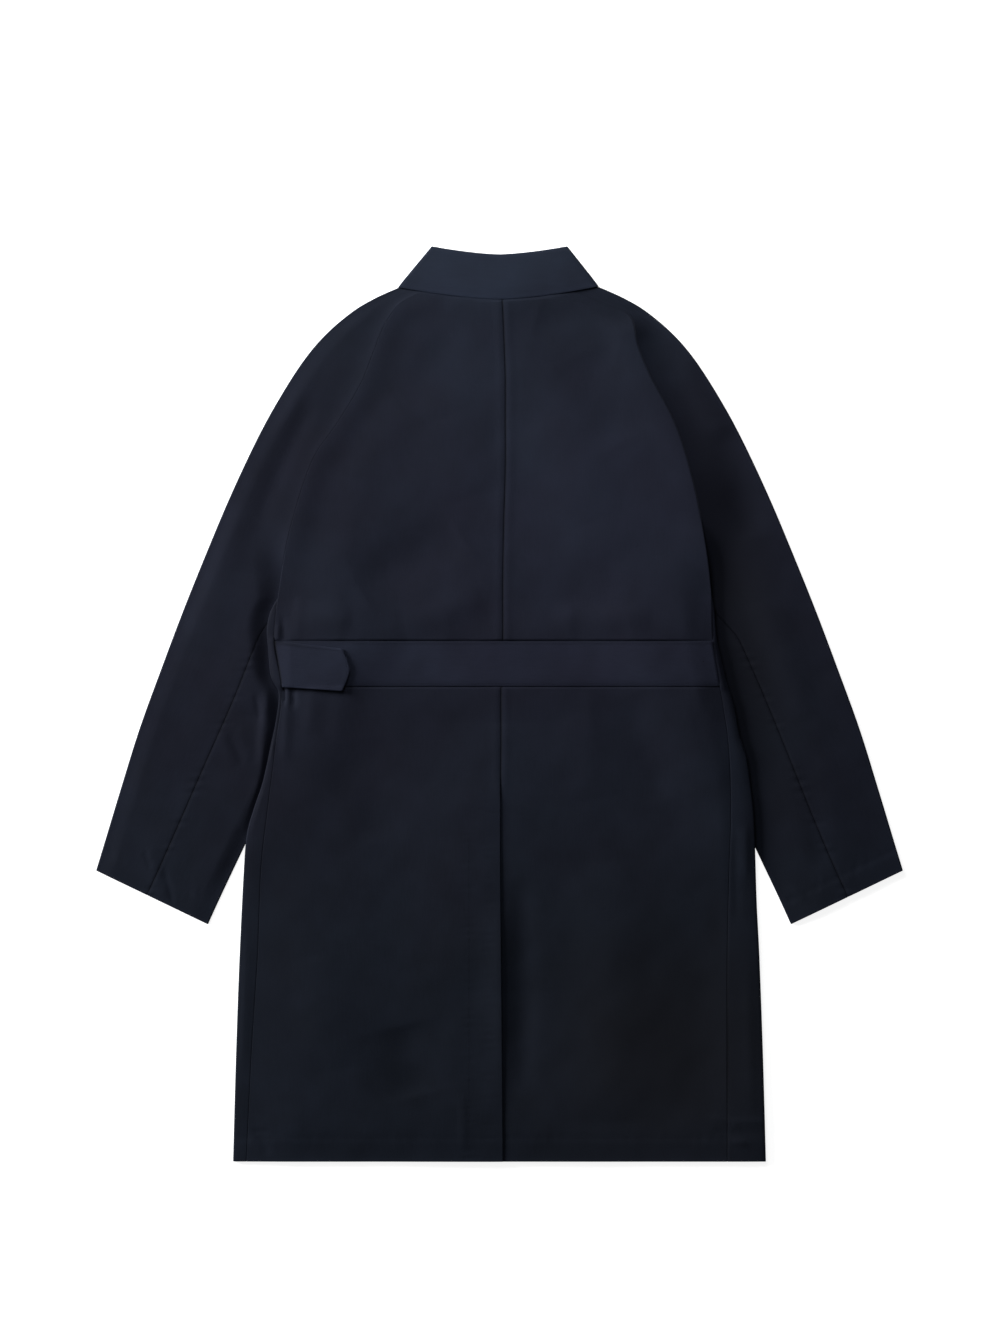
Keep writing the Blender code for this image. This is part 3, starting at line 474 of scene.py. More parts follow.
# Long soft spots of another colour: turn, stretch, middle after both, width, colour and strength.
# The grey one is low on the right skirt, the body's are painted shade beside its seams, the sleeves'
# painted shade beside the body.
GREY_PATCH = (0.0, 1.0, (0.2, -0.4, 0.0), 0.15, (0.0066, 0.0068, 0.0090), 0.7)
BODY_SHADE_PATCHES = (
    (0.03, 0.3, (-0.243, -0.098, 0.0), 0.036, (0.0040, 0.0048, 0.0084), 0.45),
    (0.0, 0.35, (0.247, -0.088, 0.0), 0.014, (0.0030, 0.0034, 0.0056), 0.55),
)
SLEEVE_SHADE_PATCHES = {
    LEFT: (
        (0.06, 0.25, (-0.2765, 0.012, 0.0), 0.012, (0.0020, 0.0023, 0.0048), 0.6),
    ),
    RIGHT: (
        (-0.2, 0.2, (0.29, 0.01, 0.0), 0.052, (0.0036, 0.0041, 0.0064), 0.75),
        (0.0, 1.0, (0.25, 0.24, 0.0), 0.034, (0.0026, 0.0029, 0.0062), 0.75),
    ),
}

# Studio: name, place, size and watts of each light, the room's light, the floor and the camera
LIGHTS = (
    ("key", (-4.6, 1.9, 1.6), 1.9, 650.0),
    ("top", (-0.25, 0.95, 0.85), 0.6, 9.2),
    ("fill", (2.4, -0.6, 1.2), 1.6, 2.0),
)
ROOM, ROOM_WHITE = 0.095, (0.96, 0.98, 1.0, 1.0)
FLOOR_HALF, FLOOR_DROP = 15.0, 0.2 * MM
FLOOR_GREY, FLOOR_ROUGH, FLOOR_GLOW = (0.55, 0.55, 0.55, 1.0), 0.9, 0.85
FRAME_HEIGHT = 1334 * 1.15 * MM  # what the photograph's frame takes in, at 1.15 mm a pixel
CAMERA_HEIGHT, CAMERA_AIM = 6.0, (0.6 * MM, 42.3 * MM)
COAT_LEVEL = 4 * MM  # height on the coat from which the camera's is counted


def smooth(t):
    """Soft step from 0 to 1 as t goes from 0 to 1."""
    t = np.clip(t, 0.0, 1.0)
    return t * t * (3.0 - 2.0 * t)


def bell(t):
    """Bell of height 1: e to the power of minus t squared."""
    return np.exp(-t ** 2)


def along(values, station):
    """Smooth curve through the rows of a table column, read at fractional row numbers."""
    last = len(values) - 1
    row = np.clip(np.floor(station).astype(int), 0, last - 1)
    t = station - row
    before, start = values[np.clip(row - 1, 0, last)], values[row]
    end, after = values[row + 1], values[np.clip(row + 2, 0, last)]
    linear = (end - before) * t
    square = (2 * before - 5 * start + 4 * end - after) * t ** 2
    cube = (3 * (start - end) + after - before) * t ** 3
    return start + 0.5 * (linear + square + cube)


def across(values_x, values_y, y):
    """Distance from the centre line of a table's edge, where the edge crosses the levels y."""
    station = np.linspace(0, len(values_x) - 1, EDGE_SAMPLES)
    levels = along(values_y, station)
    return np.interp(-y, -levels, along(values_x, station))


def pairs(x, y):
    """Two columns of numbers as an array of points."""
    return np.stack([x, y], axis=-1)


def edge_points(rows, name, station, side=1):
    """Points of one edge of a table at fractional row numbers, mirrored on the left side."""
    return pairs(side * along(rows[name + "_x"], station), along(rows[name + "_y"], station))


def unit(vectors):
    """Vectors of length one."""
    return vectors / np.linalg.norm(vectors, axis=-1, keepdims=True)


def by_side(x, left, right):
    """Left values where x is left of the centre line, right values elsewhere."""
    return np.where(x < 0, left, right)


def folds(rows, x, y):
    """Height of a table of soft folds: each falls off as a bell with the distance from its line.

    Along the line it falls off with the fourth power of the distance from the line's middle.
    """
    height = np.zeros_like(x)
    for x0, y0, x1, y1, width, peak in zip(*rows.values()):
        length = np.hypot(x1 - x0, y1 - y0)
        t = np.clip(((x - x0) * (x1 - x0) + (y - y0) * (y1 - y0)) / length ** 2, 0, 1)
        distance = np.hypot(x - x0 - t * (x1 - x0), y - y0 - t * (y1 - y0))
        height = height + peak * bell(distance / width) * (1 - FOLD_TAPER * (2 * t - 1) ** 4)
    return height


def ripples(x, y):
    """Sum of long low waves, each with its own length, direction, start and height."""
    height = np.zeros_like(x)
    for length, direction, start, peak in RIPPLES:
        run = x * np.cos(direction) + y * np.sin(direction)
        aside = y * np.cos(direction) - x * np.sin(direction)
        bend = RIPPLE_BEND * np.sin(aside * 2 * np.pi / (RIPPLE_BEND_LENGTH * length))
        height = height + peak * MM * np.sin(run * 2 * np.pi / length + start + bend * np.pi)
    return height


def puckers(run, distance):
    """Small waves along a seam, uneven and in groups, that fade out as a bell of the distance from it."""
    pitches = run / PUCKER_PITCH
    waves = np.sin(pitches * 2 * np.pi + PITCH_DRIFT * np.sin(pitches / PITCH_DRIFT_LENGTH))
    drift = GROUP_DRIFT * np.sin(pitches / GROUP_DRIFT_LENGTH)
    group = 0.5 + 0.5 * np.sin(pitches * 2 * np.pi / GROUP_LENGTH + drift)
    return PUCKER * waves * group ** 2 * bell(distance / PUCKER_WIDTH)


def path_distance(path, x, y):
    """Distance of points from a path: the least of their distances from its straight pieces."""
    best = np.full(x.shape, np.inf)
    for (start_x, start_y), (end_x, end_y) in zip(path[:-1], path[1:]):
        run_x, run_y = end_x - start_x, end_y - start_y
        share = ((x - start_x) * run_x + (y - start_y) * run_y) / (run_x ** 2 + run_y ** 2)
        share = np.clip(share, 0, 1)
        best = np.minimum(best, np.hypot(x - start_x - share * run_x, y - start_y - share * run_y))
    return best


def back_seam(side):
    """Raglan and side seam of one side as points of the plan, from the neck to the hem."""
    return edge_points(BACK, SIDE_NAME[side], np.linspace(0, HEM, PATH_POINTS), side)


def centre_line(y):
    """Place of the centre seam at the levels y."""
    return across(BACK["centre_x"], BACK["centre_y"], y)


def above_notch(y):
    """1 above the notch between sleeve and body, falling to 0 below it."""
    return smooth((y - SLEEVE["under_y"][NOTCH]) / NOTCH_FADE + 1)


def inner_fold(y):
    """Distance of the sleeves' inner folds from the centre line at the levels y."""
    return across(SLEEVE["under_x"], SLEEVE["under_y"], y)


def tucked(x, y, ramp):
    """How far a point lies on the sleeve that is tucked under the body, from 0 to 1.

    A product of soft steps past the sleeve's inner fold, past the line where that fold ends at the
    underarm, and above the notch between sleeve and body.
    """
    past_fold = smooth((np.abs(x) - inner_fold(y) + RAMP_END + ramp) / ramp)
    end_x, end_y = SLEEVE["under_x"][UNDERARM], SLEEVE["under_y"][UNDERARM]
    run_x = BACK["right_x"][UNDERARM] - end_x
    run_y = BACK["right_y"][UNDERARM] - end_y
    past_end = ((np.abs(x) - end_x) * run_y - (y - end_y) * run_x) / np.hypot(run_x, run_y)
    return past_fold * smooth((past_end + RAMP_END + ramp) / ramp) * above_notch(y)


def front_bottom(x, y, side):
    """Underside of a front: on the floor, on the sleeve's edge, and on the tucked sleeve."""
    on_edge = smooth((np.abs(x) - inner_fold(y) + RAMP_END + RAMP_FRONT) / RAMP_FRONT)
    height = ON_EDGE * on_edge * above_notch(y) + (ON_SLEEVE - ON_EDGE) * tucked(x, y, RAMP_FRONT)
    if side == RIGHT:
        lap_end = FRONT_LAP + FRONT_LAP_END + FRONT_LAP_RAMP
        height = height + ON_EDGE * smooth((lap_end - x) / FRONT_LAP_RAMP)
    return height


def side_seam(side, y):
    """Distance of the raglan and side seam from the centre line at the levels y."""
    edge = SIDE_NAME[side]
    return across(BACK[edge + "_x"], BACK[edge + "_y"], y)


def side_fold(side, y):
    """Distance of the side fold from the centre line at the levels y, and nothing above the underarm."""
    rows = SIDE_FOLD[side]
    return across(rows["x"], rows["y"], y) * (y < rows["y"][0])


def body_edge(x, y):
    """Distance inside the edge of the body: its raglan seam above the underarm, its side fold below."""
    edges = [np.maximum(side_seam(side, y), side_fold(side, y)) for side in (LEFT, RIGHT)]
    return by_side(x, *edges) - np.abs(x)


def over_collar(y):
    """Lift of the upper layers where they lie on the collar's front."""
    return NECK_LIFT * smooth((y - NECK_LIFT_FROM) / NECK_LIFT_WIDTH)


def below_collar(x, y):
    """1 down the body, falling to 0 under the collar's lower edge."""
    rise = COLLAR_FOOT_LEVEL - COLLAR_SEAM
    edge = COLLAR_SEAM + rise * np.abs(x / COLLAR_FOOT_HALF) ** COLLAR_SEAM_POWER
    return smooth((edge - RIM - y) / COLLAR_STEP)


def at_belt(y, fade):
    """1 at the levels of the belt, falling to 0 over the given width past its two edges."""
    return smooth((BELT_TOP - y) / fade + 1) * smooth((y - BELT_BOTTOM) / fade + 1)


def from_edge(x, y):
    """0 at the edge of the body, rising to 1 inside it."""
    return smooth(body_edge(x, y) / by_side(x, BACK_LOFT_WIDTH[LEFT], BACK_LOFT_WIDTH[RIGHT]))


def raglan_roll(x, y):
    """Raised roll beside the raglan seams, a bell about its place, and the right back's ramp.

    The right back also keeps its swell up to the seam. All fade out towards the underarm. Those of the
    right side also fade out where its seam bends to the collar.
    """
    rolls = []
    for side in (LEFT, RIGHT):
        from_roll = path_distance(back_seam(side), x, y) - RAGLAN_ROLL_AT[side]
        rolls.append(RAGLAN_ROLL[side] * bell(from_roll / RAGLAN_ROLL_WIDTH))
    ramp = RIGHT_RAMP * smooth(x / RIGHT_RAMP_WIDTH) + (BACK_LOFT + BODY_SWELL) * (1 - from_edge(x, y))
    rolls[1] = (rolls[1] + ramp) * smooth((RAGLAN_BEND - y) / RAGLAN_BEND_FADE + 1)
    return by_side(x, *rolls) * smooth((y - RAGLAN_END) / NOTCH_FADE) * below_collar(x, y)


def raised_edge(x, y):
    """Height that the body's edge gains beside the sleeves, from the notch up to the raglan seam."""
    up = smooth((y - EDGE_RAISE_FROM) / EDGE_RAISE_FADE) * smooth((EDGE_RAISE_TO - y) / EDGE_RAISE_FADE)
    return by_side(x, EDGE_RAISE[LEFT], EDGE_RAISE[RIGHT]) * up


def blouse(x, y):
    """Billow over the belt's upper edge and under its lower one, in uneven waves.

    It is steep beside the belt and then falls off slowly.
    """
    above, below = y - BELT_TOP, BELT_BOTTOM - y
    upper = smooth(above / BLOUSE_STEEP) * (1 - smooth((above - BLOUSE_STEEP) / BLOUSE_LENGTH))
    lower = smooth(below / SKIRT_STEEP) * (1 - smooth((below - SKIRT_STEEP) / SKIRT_LENGTH))
    turn = x * 2 * np.pi / BLOUSE_WAVE
    waves = BLOUSE_LEVEL
    for height, count, start in BLOUSE_WAVES:
        waves = waves + height * np.sin(count * turn + start)
    return (BLOUSE * upper + SKIRT_BILLOW * lower) * waves


def centre_seam(x, y):
    """Pressed-open centre seam: a narrow groove between two low ridges, with puckers, above the vent."""
    from_seam = np.abs(x - centre_line(y))
    groove = -SEAM_GROOVE * bell(from_seam / SEAM_GROOVE_WIDTH)
    ridges = SEAM_RIDGE * bell((from_seam - SEAM_RIDGE_AT) / SEAM_RIDGE_WIDTH)
    relief = groove + ridges + puckers(y, from_seam)
    return relief * smooth((y - VENT_TOP) / VENT_LENGTH) * below_collar(x, y)


def turned_hem(run, height, depth):
    """Turned-up hem: a step where its layer starts, a groove along its stitches, and uneven puckers.

    height is the distance from the hem's edge, depth the hem's depth, and run the way along it.
    """
    step = HEM_STEP * smooth((depth - height) / HEM_STEP_WIDTH)
    groove = -HEM_GROOVE * bell((height - depth) / HEM_GROOVE_WIDTH)
    return step + groove + puckers(HEM_STRETCH * run, height - depth)


def back_bottom(x, y):
    """Underside of the back: on the front's turned side, swelling inwards, with its folds and seams."""
    inside = body_edge(x, y)
    soft = from_edge(x, y)
    calm = below_collar(x, y)
    pressed = at_belt(y, BELT_PRESS_EDGE)
    loft = BACK_LOFT * soft + BODY_SWELL * soft * calm
    drape = (folds(BACK_FOLDS, x, y) * calm + ripples(x, y) * calm) * soft
    fine = folds(BACK_CREASES, x, y) * (1 - pressed) - BELT_PRESS * pressed * soft
    seams = centre_seam(x, y) * (1 - pressed) + turned_hem(x, y - HEM_LEVEL, HEM_DEPTH)
    droop = HEM_DROOP * soft * smooth((HEM_LEVEL - y) / HEM_DROOP_WIDTH + 1)
    on_layers = ON_FOLD + ON_SLEEVE * tucked(x, y, RAMP_BACK) + over_collar(y)
    edges = raglan_roll(x, y) + raised_edge(x, y) * bell(inside / EDGE_RAISE_WIDTH) - droop
    return on_layers + loft + drape + blouse(x, y) * soft + fine + seams + edges


def sewn_flush(fold, seam):
    """1 where the side fold lies well outside the side seam, which is flush there, and 0 close to it."""
    return smooth((fold - seam - FLUSH_FROM) / FLUSH_OVER)


def wrap_bottom(x, y, side):
    """Underside of the front's turned side: an arch from the side seam's height down to the fold's.

    Where the fold comes close to the seam, at the underarm, the cloth slips under the back instead.
    """
    seam, fold = side_seam(side, y), side_fold(side, y)
    foot = fold - RIM_FOLD
    at_fold = front_bottom(side * foot, y, side) + UPPER + FOLD_RAISE * raised_edge(side * foot, y)
    opened = SIDE_FOLD_OPEN + (BESIDE_SLEEVE_OPEN - SIDE_FOLD_OPEN) * above_notch(y)
    at_fold = at_fold + (back_bottom(side * seam, y) - at_fold) * opened
    at_seam = back_bottom(side * seam, y) + SEWN_IN[side] * at_belt(y, SEWN_IN_FADE)
    at_seam = at_fold + (at_seam - at_fold) * sewn_flush(fold, seam)
    share = np.clip((np.abs(x) - seam) / np.maximum(foot - seam, RIM), 0, 1)
    crease = folds(WRAP_FOLDS, x, y) * smooth(share * CREASE_FADE) * smooth((1 - share) * CREASE_FADE)
    return at_fold + (at_seam - at_fold) * (1 - share ** WRAP_ARCH) + crease


def flap_lift(x, y):
    """Lift of the vent's upper flap: on to the underlap, and the long soft bulge of its free edge."""
    past_underlap = smooth((-x - VENT_UNDERLAP) / VENT_WIDTH)
    on_underlap = smooth((VENT_TOP - y) / VENT_LENGTH + 1) * (1 - past_underlap)
    bulge = bell((y - FLAP_BULGE_AT) / FLAP_BULGE_LENGTH) * (1 - smooth(-x / FLAP_BULGE_WIDTH))
    facing = FACING_PUCKER * sum(puckers(FACING_STRETCH * y + line, x - line) for line in FACING_LINES)
    return ON_EDGE * on_underlap + (FLAP_BULGE * bulge + facing) * smooth((VENT_TOP - y) / VENT_LENGTH)


def beside_body(side, x, y):
    """0 on a sleeve at the body's edge, rising to 1 away from it as its table says."""
    rows = SLEEVE_PARTING[side]
    low, rise = [np.interp(-y, -rows["y"], rows[name]) for name in ("low", "rise")]
    return smooth((-body_edge(x, y) - low) / rise)


def sleeve_bottom(x, y, over, under):
    """Underside of a sleeve's upper layer, lofted away from the body's edge and from its two folds."""
    from_body = by_side(x, *[beside_body(side, x, y) for side in (LEFT, RIGHT)])
    closed = 1 - by_side(x, FOLD_OPEN[LEFT], FOLD_OPEN[RIGHT])
    from_outer = 1 - closed * (1 - smooth(over / SLEEVE_LOFT_WIDTH))
    from_inner = 1 - (1 - INNER_OPEN * (1 - above_notch(y))) * (1 - smooth(under / SLEEVE_LOFT_WIDTH))
    from_folds = from_outer * from_inner
    soft = (SLEEVE_LOFT + folds(SLEEVE_FOLDS, x, y) + ripples(x, y)) * from_body * from_folds
    return UPPER + over_collar(y) + soft * below_collar(x, y)


def sewn_edge(sewn):
    """How far a row's sewn edge stands outside its neighbour's: beside it at 1, under it at 0."""
    return RIM + SEAM_GAP - (SEAM_LAP + 2 * RIM) * smooth((SLIP_FROM - sewn) / SLIP_OVER)


def neckline(x):
    """Level of the fronts' neckline."""
    return NECK_FRONT + NECK_DEPTH * (np.abs(x) / NECK_HALF) ** NECK_POWER


def even_stations(x, y, marks=(), levels=()):
    """Row numbers of a table at even steps along one of its edges, and at marked rows and levels."""
    station = np.linspace(0, len(x) - 1, EDGE_SAMPLES)
    run = np.hypot(np.diff(along(x, station)), np.diff(along(y, station)))
    length = np.concatenate([[0], np.cumsum(run)])
    count = round(length[-1] / ROW_STEP)
    even = np.interp(spread(length[-1:], FINE, FINE, count)[0], length, station)
    for mark in marks:
        even[np.argmin(np.abs(even - mark))] = mark
    return np.sort(np.concatenate([even, np.interp(-np.array(levels), -along(y, station), station)]))


def spread(length, start, end, count):
    """Distances across rows of the given lengths: given steps at the two ends, even ones between.

    In short rows the given steps shrink, so that they take up no more than FINE_SHARE of the row.
    """
    inner = np.linspace(0, 1, count + 1)[1:-1]
    room = np.minimum(1, FINE_SHARE * length / (start[-1] + end[-1]))[:, None]
    near = start[None, :] * room
    far = length[:, None] - end[None, ::-1] * room
    between = near[:, -1:] + (far[:, :1] - near[:, -1:]) * inner[None, :]
    return np.concatenate([near, between, far], axis=1)


def rows_between(start, end, distances):
    """Points of straight rows from start to end, at the given distances from start."""
    return start[:, None, :] + unit(end - start)[:, None, :] * distances[:, :, None]


def row_points(start, end, t):
    """Points of straight rows from start to end, at the shares t of the way."""
    return start[:, None, :] + (end - start)[:, None, :] * np.atleast_2d(t)[:, :, None]


def with_height(plan, height):
    """Plan points (x, y) and their heights as points in space."""
    return np.concatenate([plan, height[:, :, None]], axis=2)


def half_turn(foot, outward, low, high):
    """Points of a pressed fold: half a flat ring, from the lower layer's end to the upper layer's."""
    angle = np.linspace(0, np.pi, FOLD_STEPS + 1)[1:-1]
    reach = FOLD_REACH * np.sin(angle)
    plan = foot[:, None, :] + outward[:, None, :] * reach[None, :, None]
    middle, radius = (low + high) / 2, (high - low) / 2
    return with_height(plan, middle[:, None] - radius[:, None] * np.cos(angle)[None, :])


def mesh_piece(name, points, faces, wear_and_shade=None):
    """Object from an array of points and one of four-cornered faces, turned outwards, with its wear and
    painted shade.
    """
    corner = points[faces]
    first = np.einsum("ij,ij->i", corner[:, 0], np.cross(corner[:, 1], corner[:, 2])).sum()
    second = np.einsum("ij,ij->i", corner[:, 0], np.cross(corner[:, 2], corner[:, 3])).sum()
    if first + second < 0:
        faces = faces[:, ::-1]
    mesh = bpy.data.meshes.new(name)
    mesh.vertices.add(len(points))
    mesh.vertices.foreach_set("co", points.astype(np.float32).ravel())
    mesh.loops.add(faces.size)
    mesh.loops.foreach_set("vertex_index", faces.astype(np.int32).ravel())
    mesh.polygons.add(len(faces))
    mesh.polygons.foreach_set("loop_start", np.arange(0, faces.size, 4, dtype=np.int32))
    mesh.update(calc_edges=True)
    mesh.shade_smooth()
    if wear_and_shade is not None:
        # the attribute is paler wear where positive, and painted shade where negative
        layer = mesh.attributes.new("wear_and_shade_attribute", "FLOAT", "POINT")
        layer.data.foreach_set("value", wear_and_shade.astype(np.float32).ravel())
    piece = bpy.data.objects.new(name, mesh)
    bpy.context.scene.collection.objects.link(piece)
    return piece


def all_cells(grid):
    """Marks for the cells of a grid of points, with all of them there."""
    return np.ones((grid.shape[0] - 1, grid.shape[1] - 1), bool)


def cell_corners(index):
    """Point numbers of the four corners of every cell of a grid."""
    return index[:-1, :-1], index[:-1, 1:], index[1:, 1:], index[1:, :-1]


def open_edges(index, keep):
    """Point numbers at the starts and ends of the edges round the cells that are kept."""
    a, b, c, d = cell_corners(index)
    padded = np.pad(keep, 1)
    sides = (
        (padded[:-2, 1:-1], a, b),
        (padded[1:-1, 2:], b, c),
        (padded[2:, 1:-1], c, d),
        (padded[1:-1, :-2], d, a),
    )
    edges = [pairs(start[keep & ~beside], end[keep & ~beside]) for beside, start, end in sides]
    return np.concatenate(edges).T


def edge_outward(middle, normal, start, end):
    """Directions out of the cloth at the ends of its edges: the sums of their edges' cross products."""
    outward = np.zeros_like(middle)
    push = np.cross(middle[end] - middle[start], normal[start] + normal[end])
    np.add.at(outward, start, push)
    np.add.at(outward, end, push)
    return outward


def cloth_shell(name, middle, wall, wear_and_shade, keep=None):
    """Closed shell about a grid of middle points: two faces half a wall off along the normals, and a rim.

    wall is one thickness, or one for each point. keep marks the cells of the grid that exist. The rim is
    half a ring about the edge of those cells: its points stand out by RIM times the sine of the angle, and
    lie half a wall times its cosine from the middle.
    """
    rows, columns = middle.shape[:2]
    if keep is None:
        keep = all_cells(middle)
    normal = unit(np.cross(np.gradient(middle, axis=1), np.gradient(middle, axis=0))).reshape(-1, 3)
    half = normal * np.broadcast_to(wall, (rows, columns)).reshape(-1, 1) / 2
    middle = middle.reshape(-1, 3)
    count = rows * columns
    index = np.arange(count).reshape(rows, columns)
    start, end = open_edges(index, keep)
    rim, place = np.unique(np.concatenate([start, end]), return_inverse=True)
    start_rim, end_rim = place[:len(start)], place[len(start):]
    outward = unit(edge_outward(middle, normal, start, end)[rim])
    points = [middle + half, middle - half]
    rings = [(start, end)]
    for step in range(1, RIM_STEPS):
        angle = np.pi * step / RIM_STEPS
        first = 2 * count + (step - 1) * len(rim)
        points.append(middle[rim] + outward * RIM * np.sin(angle) + half[rim] * np.cos(angle))
        rings.append((first + start_rim, first + end_rim))
    rings.append((start + count, end + count))
    top = np.stack([corner[keep] for corner in cell_corners(index)], axis=1)
    faces = [top, top[:, ::-1] + count]
    for (upper_start, upper_end), (lower_start, lower_end) in zip(rings[:-1], rings[1:]):
        faces.append(np.stack([upper_end, upper_start, lower_start, lower_end], axis=1))
    wear_and_shade = wear_and_shade.ravel()
    wear_and_shade = np.concatenate([wear_and_shade, wear_and_shade] + [wear_and_shade[rim]] * (RIM_STEPS - 1))
    used, faces = np.unique(np.concatenate(faces), return_inverse=True)
    return mesh_piece(name, np.concatenate(points)[used], faces.reshape(-1, 4), wear_and_shade[used])


def seam_shade(distance):
    """Painted shade along a sewn seam's groove: a bell of the distance from it."""
    return bell(distance / SEAM_SHADE)


def side_shade(side, y):
    """How dark the painted shade of the side seam is at the levels y: darker down the skirt on the right.
    """
    return SIDE_SHADE + (side == RIGHT) * SKIRT_SHADE * bell((y - SKIRT_SHADE_AT) / SKIRT_SHADE_LENGTH)


def raglan_shade(side, station):
    """How dark the painted shade of the raglan seam is: fainter towards the collar."""
    return RAGLAN_SHADE[side] * (COLLAR_FAINT + (1 - COLLAR_FAINT) * smooth(station - FAINT_STATIONS))


def back_panel(name, side):
    """One half of the back: straight rows from the centre seam to the raglan and side seam.

    Below the top of the vent the left half rises as the upper flap, and the right half runs on under it.
    """
    beside_belt = np.concatenate([BELT_TOP + BELT_ROWS_BESIDE, BELT_BOTTOM - BELT_ROWS_BESIDE])
    station = even_stations(BACK["centre_x"], BACK["centre_y"], [VENT_STATION], beside_belt)
    centre = edge_points(BACK, "centre", station) + np.array([side * SEAM_INSET, 0])
    seam = edge_points(BACK, SIDE_NAME[side], station, side)
    length = np.linalg.norm(seam - centre, axis=1) - RIM
    distance = spread(length, FINE, FINE, BACK_COLUMNS)
    plan = rows_between(centre, seam, distance)
    keep = all_cells(plan)
    to_edge = length[:, None] - distance
    # Painted shade along the centre seam and the raglan and side seam; paler wear at the hem below.
    at_edge = np.where(station < UNDERARM, raglan_shade(side, station), side_shade(side, seam[:, 1]))
    at_centre = CENTRE_SHADE * smooth((VENT_STATION - station) / CENTRE_SHADE_FADE)
    wear_and_shade = -at_centre[:, None] * seam_shade(distance) - at_edge[:, None] * seam_shade(to_edge)
    if side == RIGHT:
        under_end = centre - np.array([VENT_UNDERLAP, 0])
        underlap = row_points(under_end, centre, np.linspace(0, 1, UNDERLAP_COLUMNS + 1)[:-1])
        plan = np.concatenate([underlap, plan], axis=1)
        has_underlap = station[:-1, None] >= VENT_STATION
        keep = np.concatenate([np.repeat(has_underlap, UNDERLAP_COLUMNS, axis=1), keep], axis=1)
        wear_and_shade = np.concatenate([np.zeros(underlap.shape[:2]), wear_and_shade], axis=1)
    x, y = plan[..., 0], plan[..., 1]
    height = back_bottom(x, y) + WALL / 2
    if side == LEFT:
        height = height + flap_lift(x, y)
    wear_and_shade = wear_and_shade + bell((y - HEM_LEVEL) / HEM_WEAR)
    return cloth_shell(name, with_height(plan, height), WALL, wear_and_shade, keep)


def front_rows(side):
    """Row numbers of a front, its ends past the centre, its levels, and its side seam and fold at them."""
    edge = SIDE_NAME[side]
    station = even_stations(FRONT[edge + "_x"], FRONT[edge + "_y"], [UNDERARM])
    centre = pairs(np.full_like(station, -side * FRONT_LAP), along(FRONT["centre_y"], station))
    level = along(FRONT[edge + "_y"], station)
    edge_x = side_seam(side, level)
    hidden_x = np.minimum(along(FRONT[edge + "_x"], station), edge_x - 2 * SEAM_LAP)
    fold_x = np.where(station < UNDERARM, hidden_x, side_fold(side, level))
    return station, centre, level, edge_x, fold_x


def front_shade(side, level, inside, outside):
    """Painted shade on a front's rows: round the fold beside the sleeve, and on top.

    On top they are a bell of the distance inside the fold, and one of the distance outside the side seam.
    """
    at_seam = side_shade(side, level)
    at_seam = at_seam + (SEWN_IN_SHADE[side] - at_seam) * at_belt(level, SEWN_IN_FADE)
    round_fold = -FOLD_SHADE[side] * smooth((level - EDGE_RAISE_FROM) / EDGE_RAISE_FADE)[:, None]
    beside_seam = at_seam[:, None] * seam_shade(outside - RIM)
    return round_fold, round_fold * bell(inside / FOLD_SHADE_WIDTH) - beside_seam


def front_panel(name, side):
    """One front: straight rows underneath, from past the centre to the raglan seam or the side fold.

    From the underarm down each row turns round the side fold and comes back on top, under the back.
    """
    station, centre, level, edge_x, fold_x = front_rows(side)
    outward = np.tile([float(side), 0.0], (len(station), 1))
    foot = pairs(side * (fold_x - RIM_FOLD), level)
    length = np.linalg.norm(foot - centre, axis=1)
    plan = rows_between(centre, foot, spread(length, BARE, BARE, FRONT_COLUMNS))
    columns = plan.shape[1] - 1
    drop = neckline(plan[0, :, 0]) - plan[0, :, 1]
    plan[..., 1] += drop * (1 - smooth(station / NECK_STATIONS))[:, None]
    x, y = plan[..., 0], plan[..., 1]
    away = smooth((length[:, None] - np.linalg.norm(plan - centre[:, None, :], axis=2)) / FRONT_CALM)
    low = front_bottom(x, y, side) + WALL / 2
    low_foot = low[:, -1]
    low = low + folds(FRONT_FOLDS, x, y) * away * smooth((side * x - FRONT_LAP) / FRONT_CALM)
    last_x = fold_x - RIM_FOLD - 2 * FOLD_REACH
    seam_x = np.minimum(edge_x + sewn_edge(sewn_flush(fold_x, edge_x)), last_x)
    seam_x = np.where(station < UNDERARM, last_x, seam_x)
    wrap = row_points(foot, pairs(side * seam_x, level), np.linspace(0, 1, WRAP_COLUMNS + 1))
    inside = np.abs(wrap[..., 0] - foot[:, None, 0])
    outside = np.abs(wrap[..., 0]) - edge_x[:, None]
    wrap_height = wrap_bottom(wrap[..., 0], wrap[..., 1], side) + WALL / 2
    turn = half_turn(foot, outward, low_foot, wrap_height[:, 0])
    middle = np.concatenate([with_height(plan, low), turn, with_height(wrap, wrap_height)], axis=1)
    keep = all_cells(middle)
    keep[station[:-1] < UNDERARM, columns:] = False
    # painted shade round the fold beside the sleeve and along the side seam
    wear_and_shade = np.zeros(middle.shape[:2])
    round_fold, on_top = front_shade(side, level, inside, outside)
    wear_and_shade[:, columns:] = round_fold
    wear_and_shade[:, -wrap.shape[1]:] = on_top
    return cloth_shell(name, middle, WALL, wear_and_shade, keep)


def sewn_raglan(station, side):
    """1 where sleeve and back are sewn flush, falling to 0 at the underarm, where it slips under."""
    return smooth((UNDERARM - station) / PARTING[side])


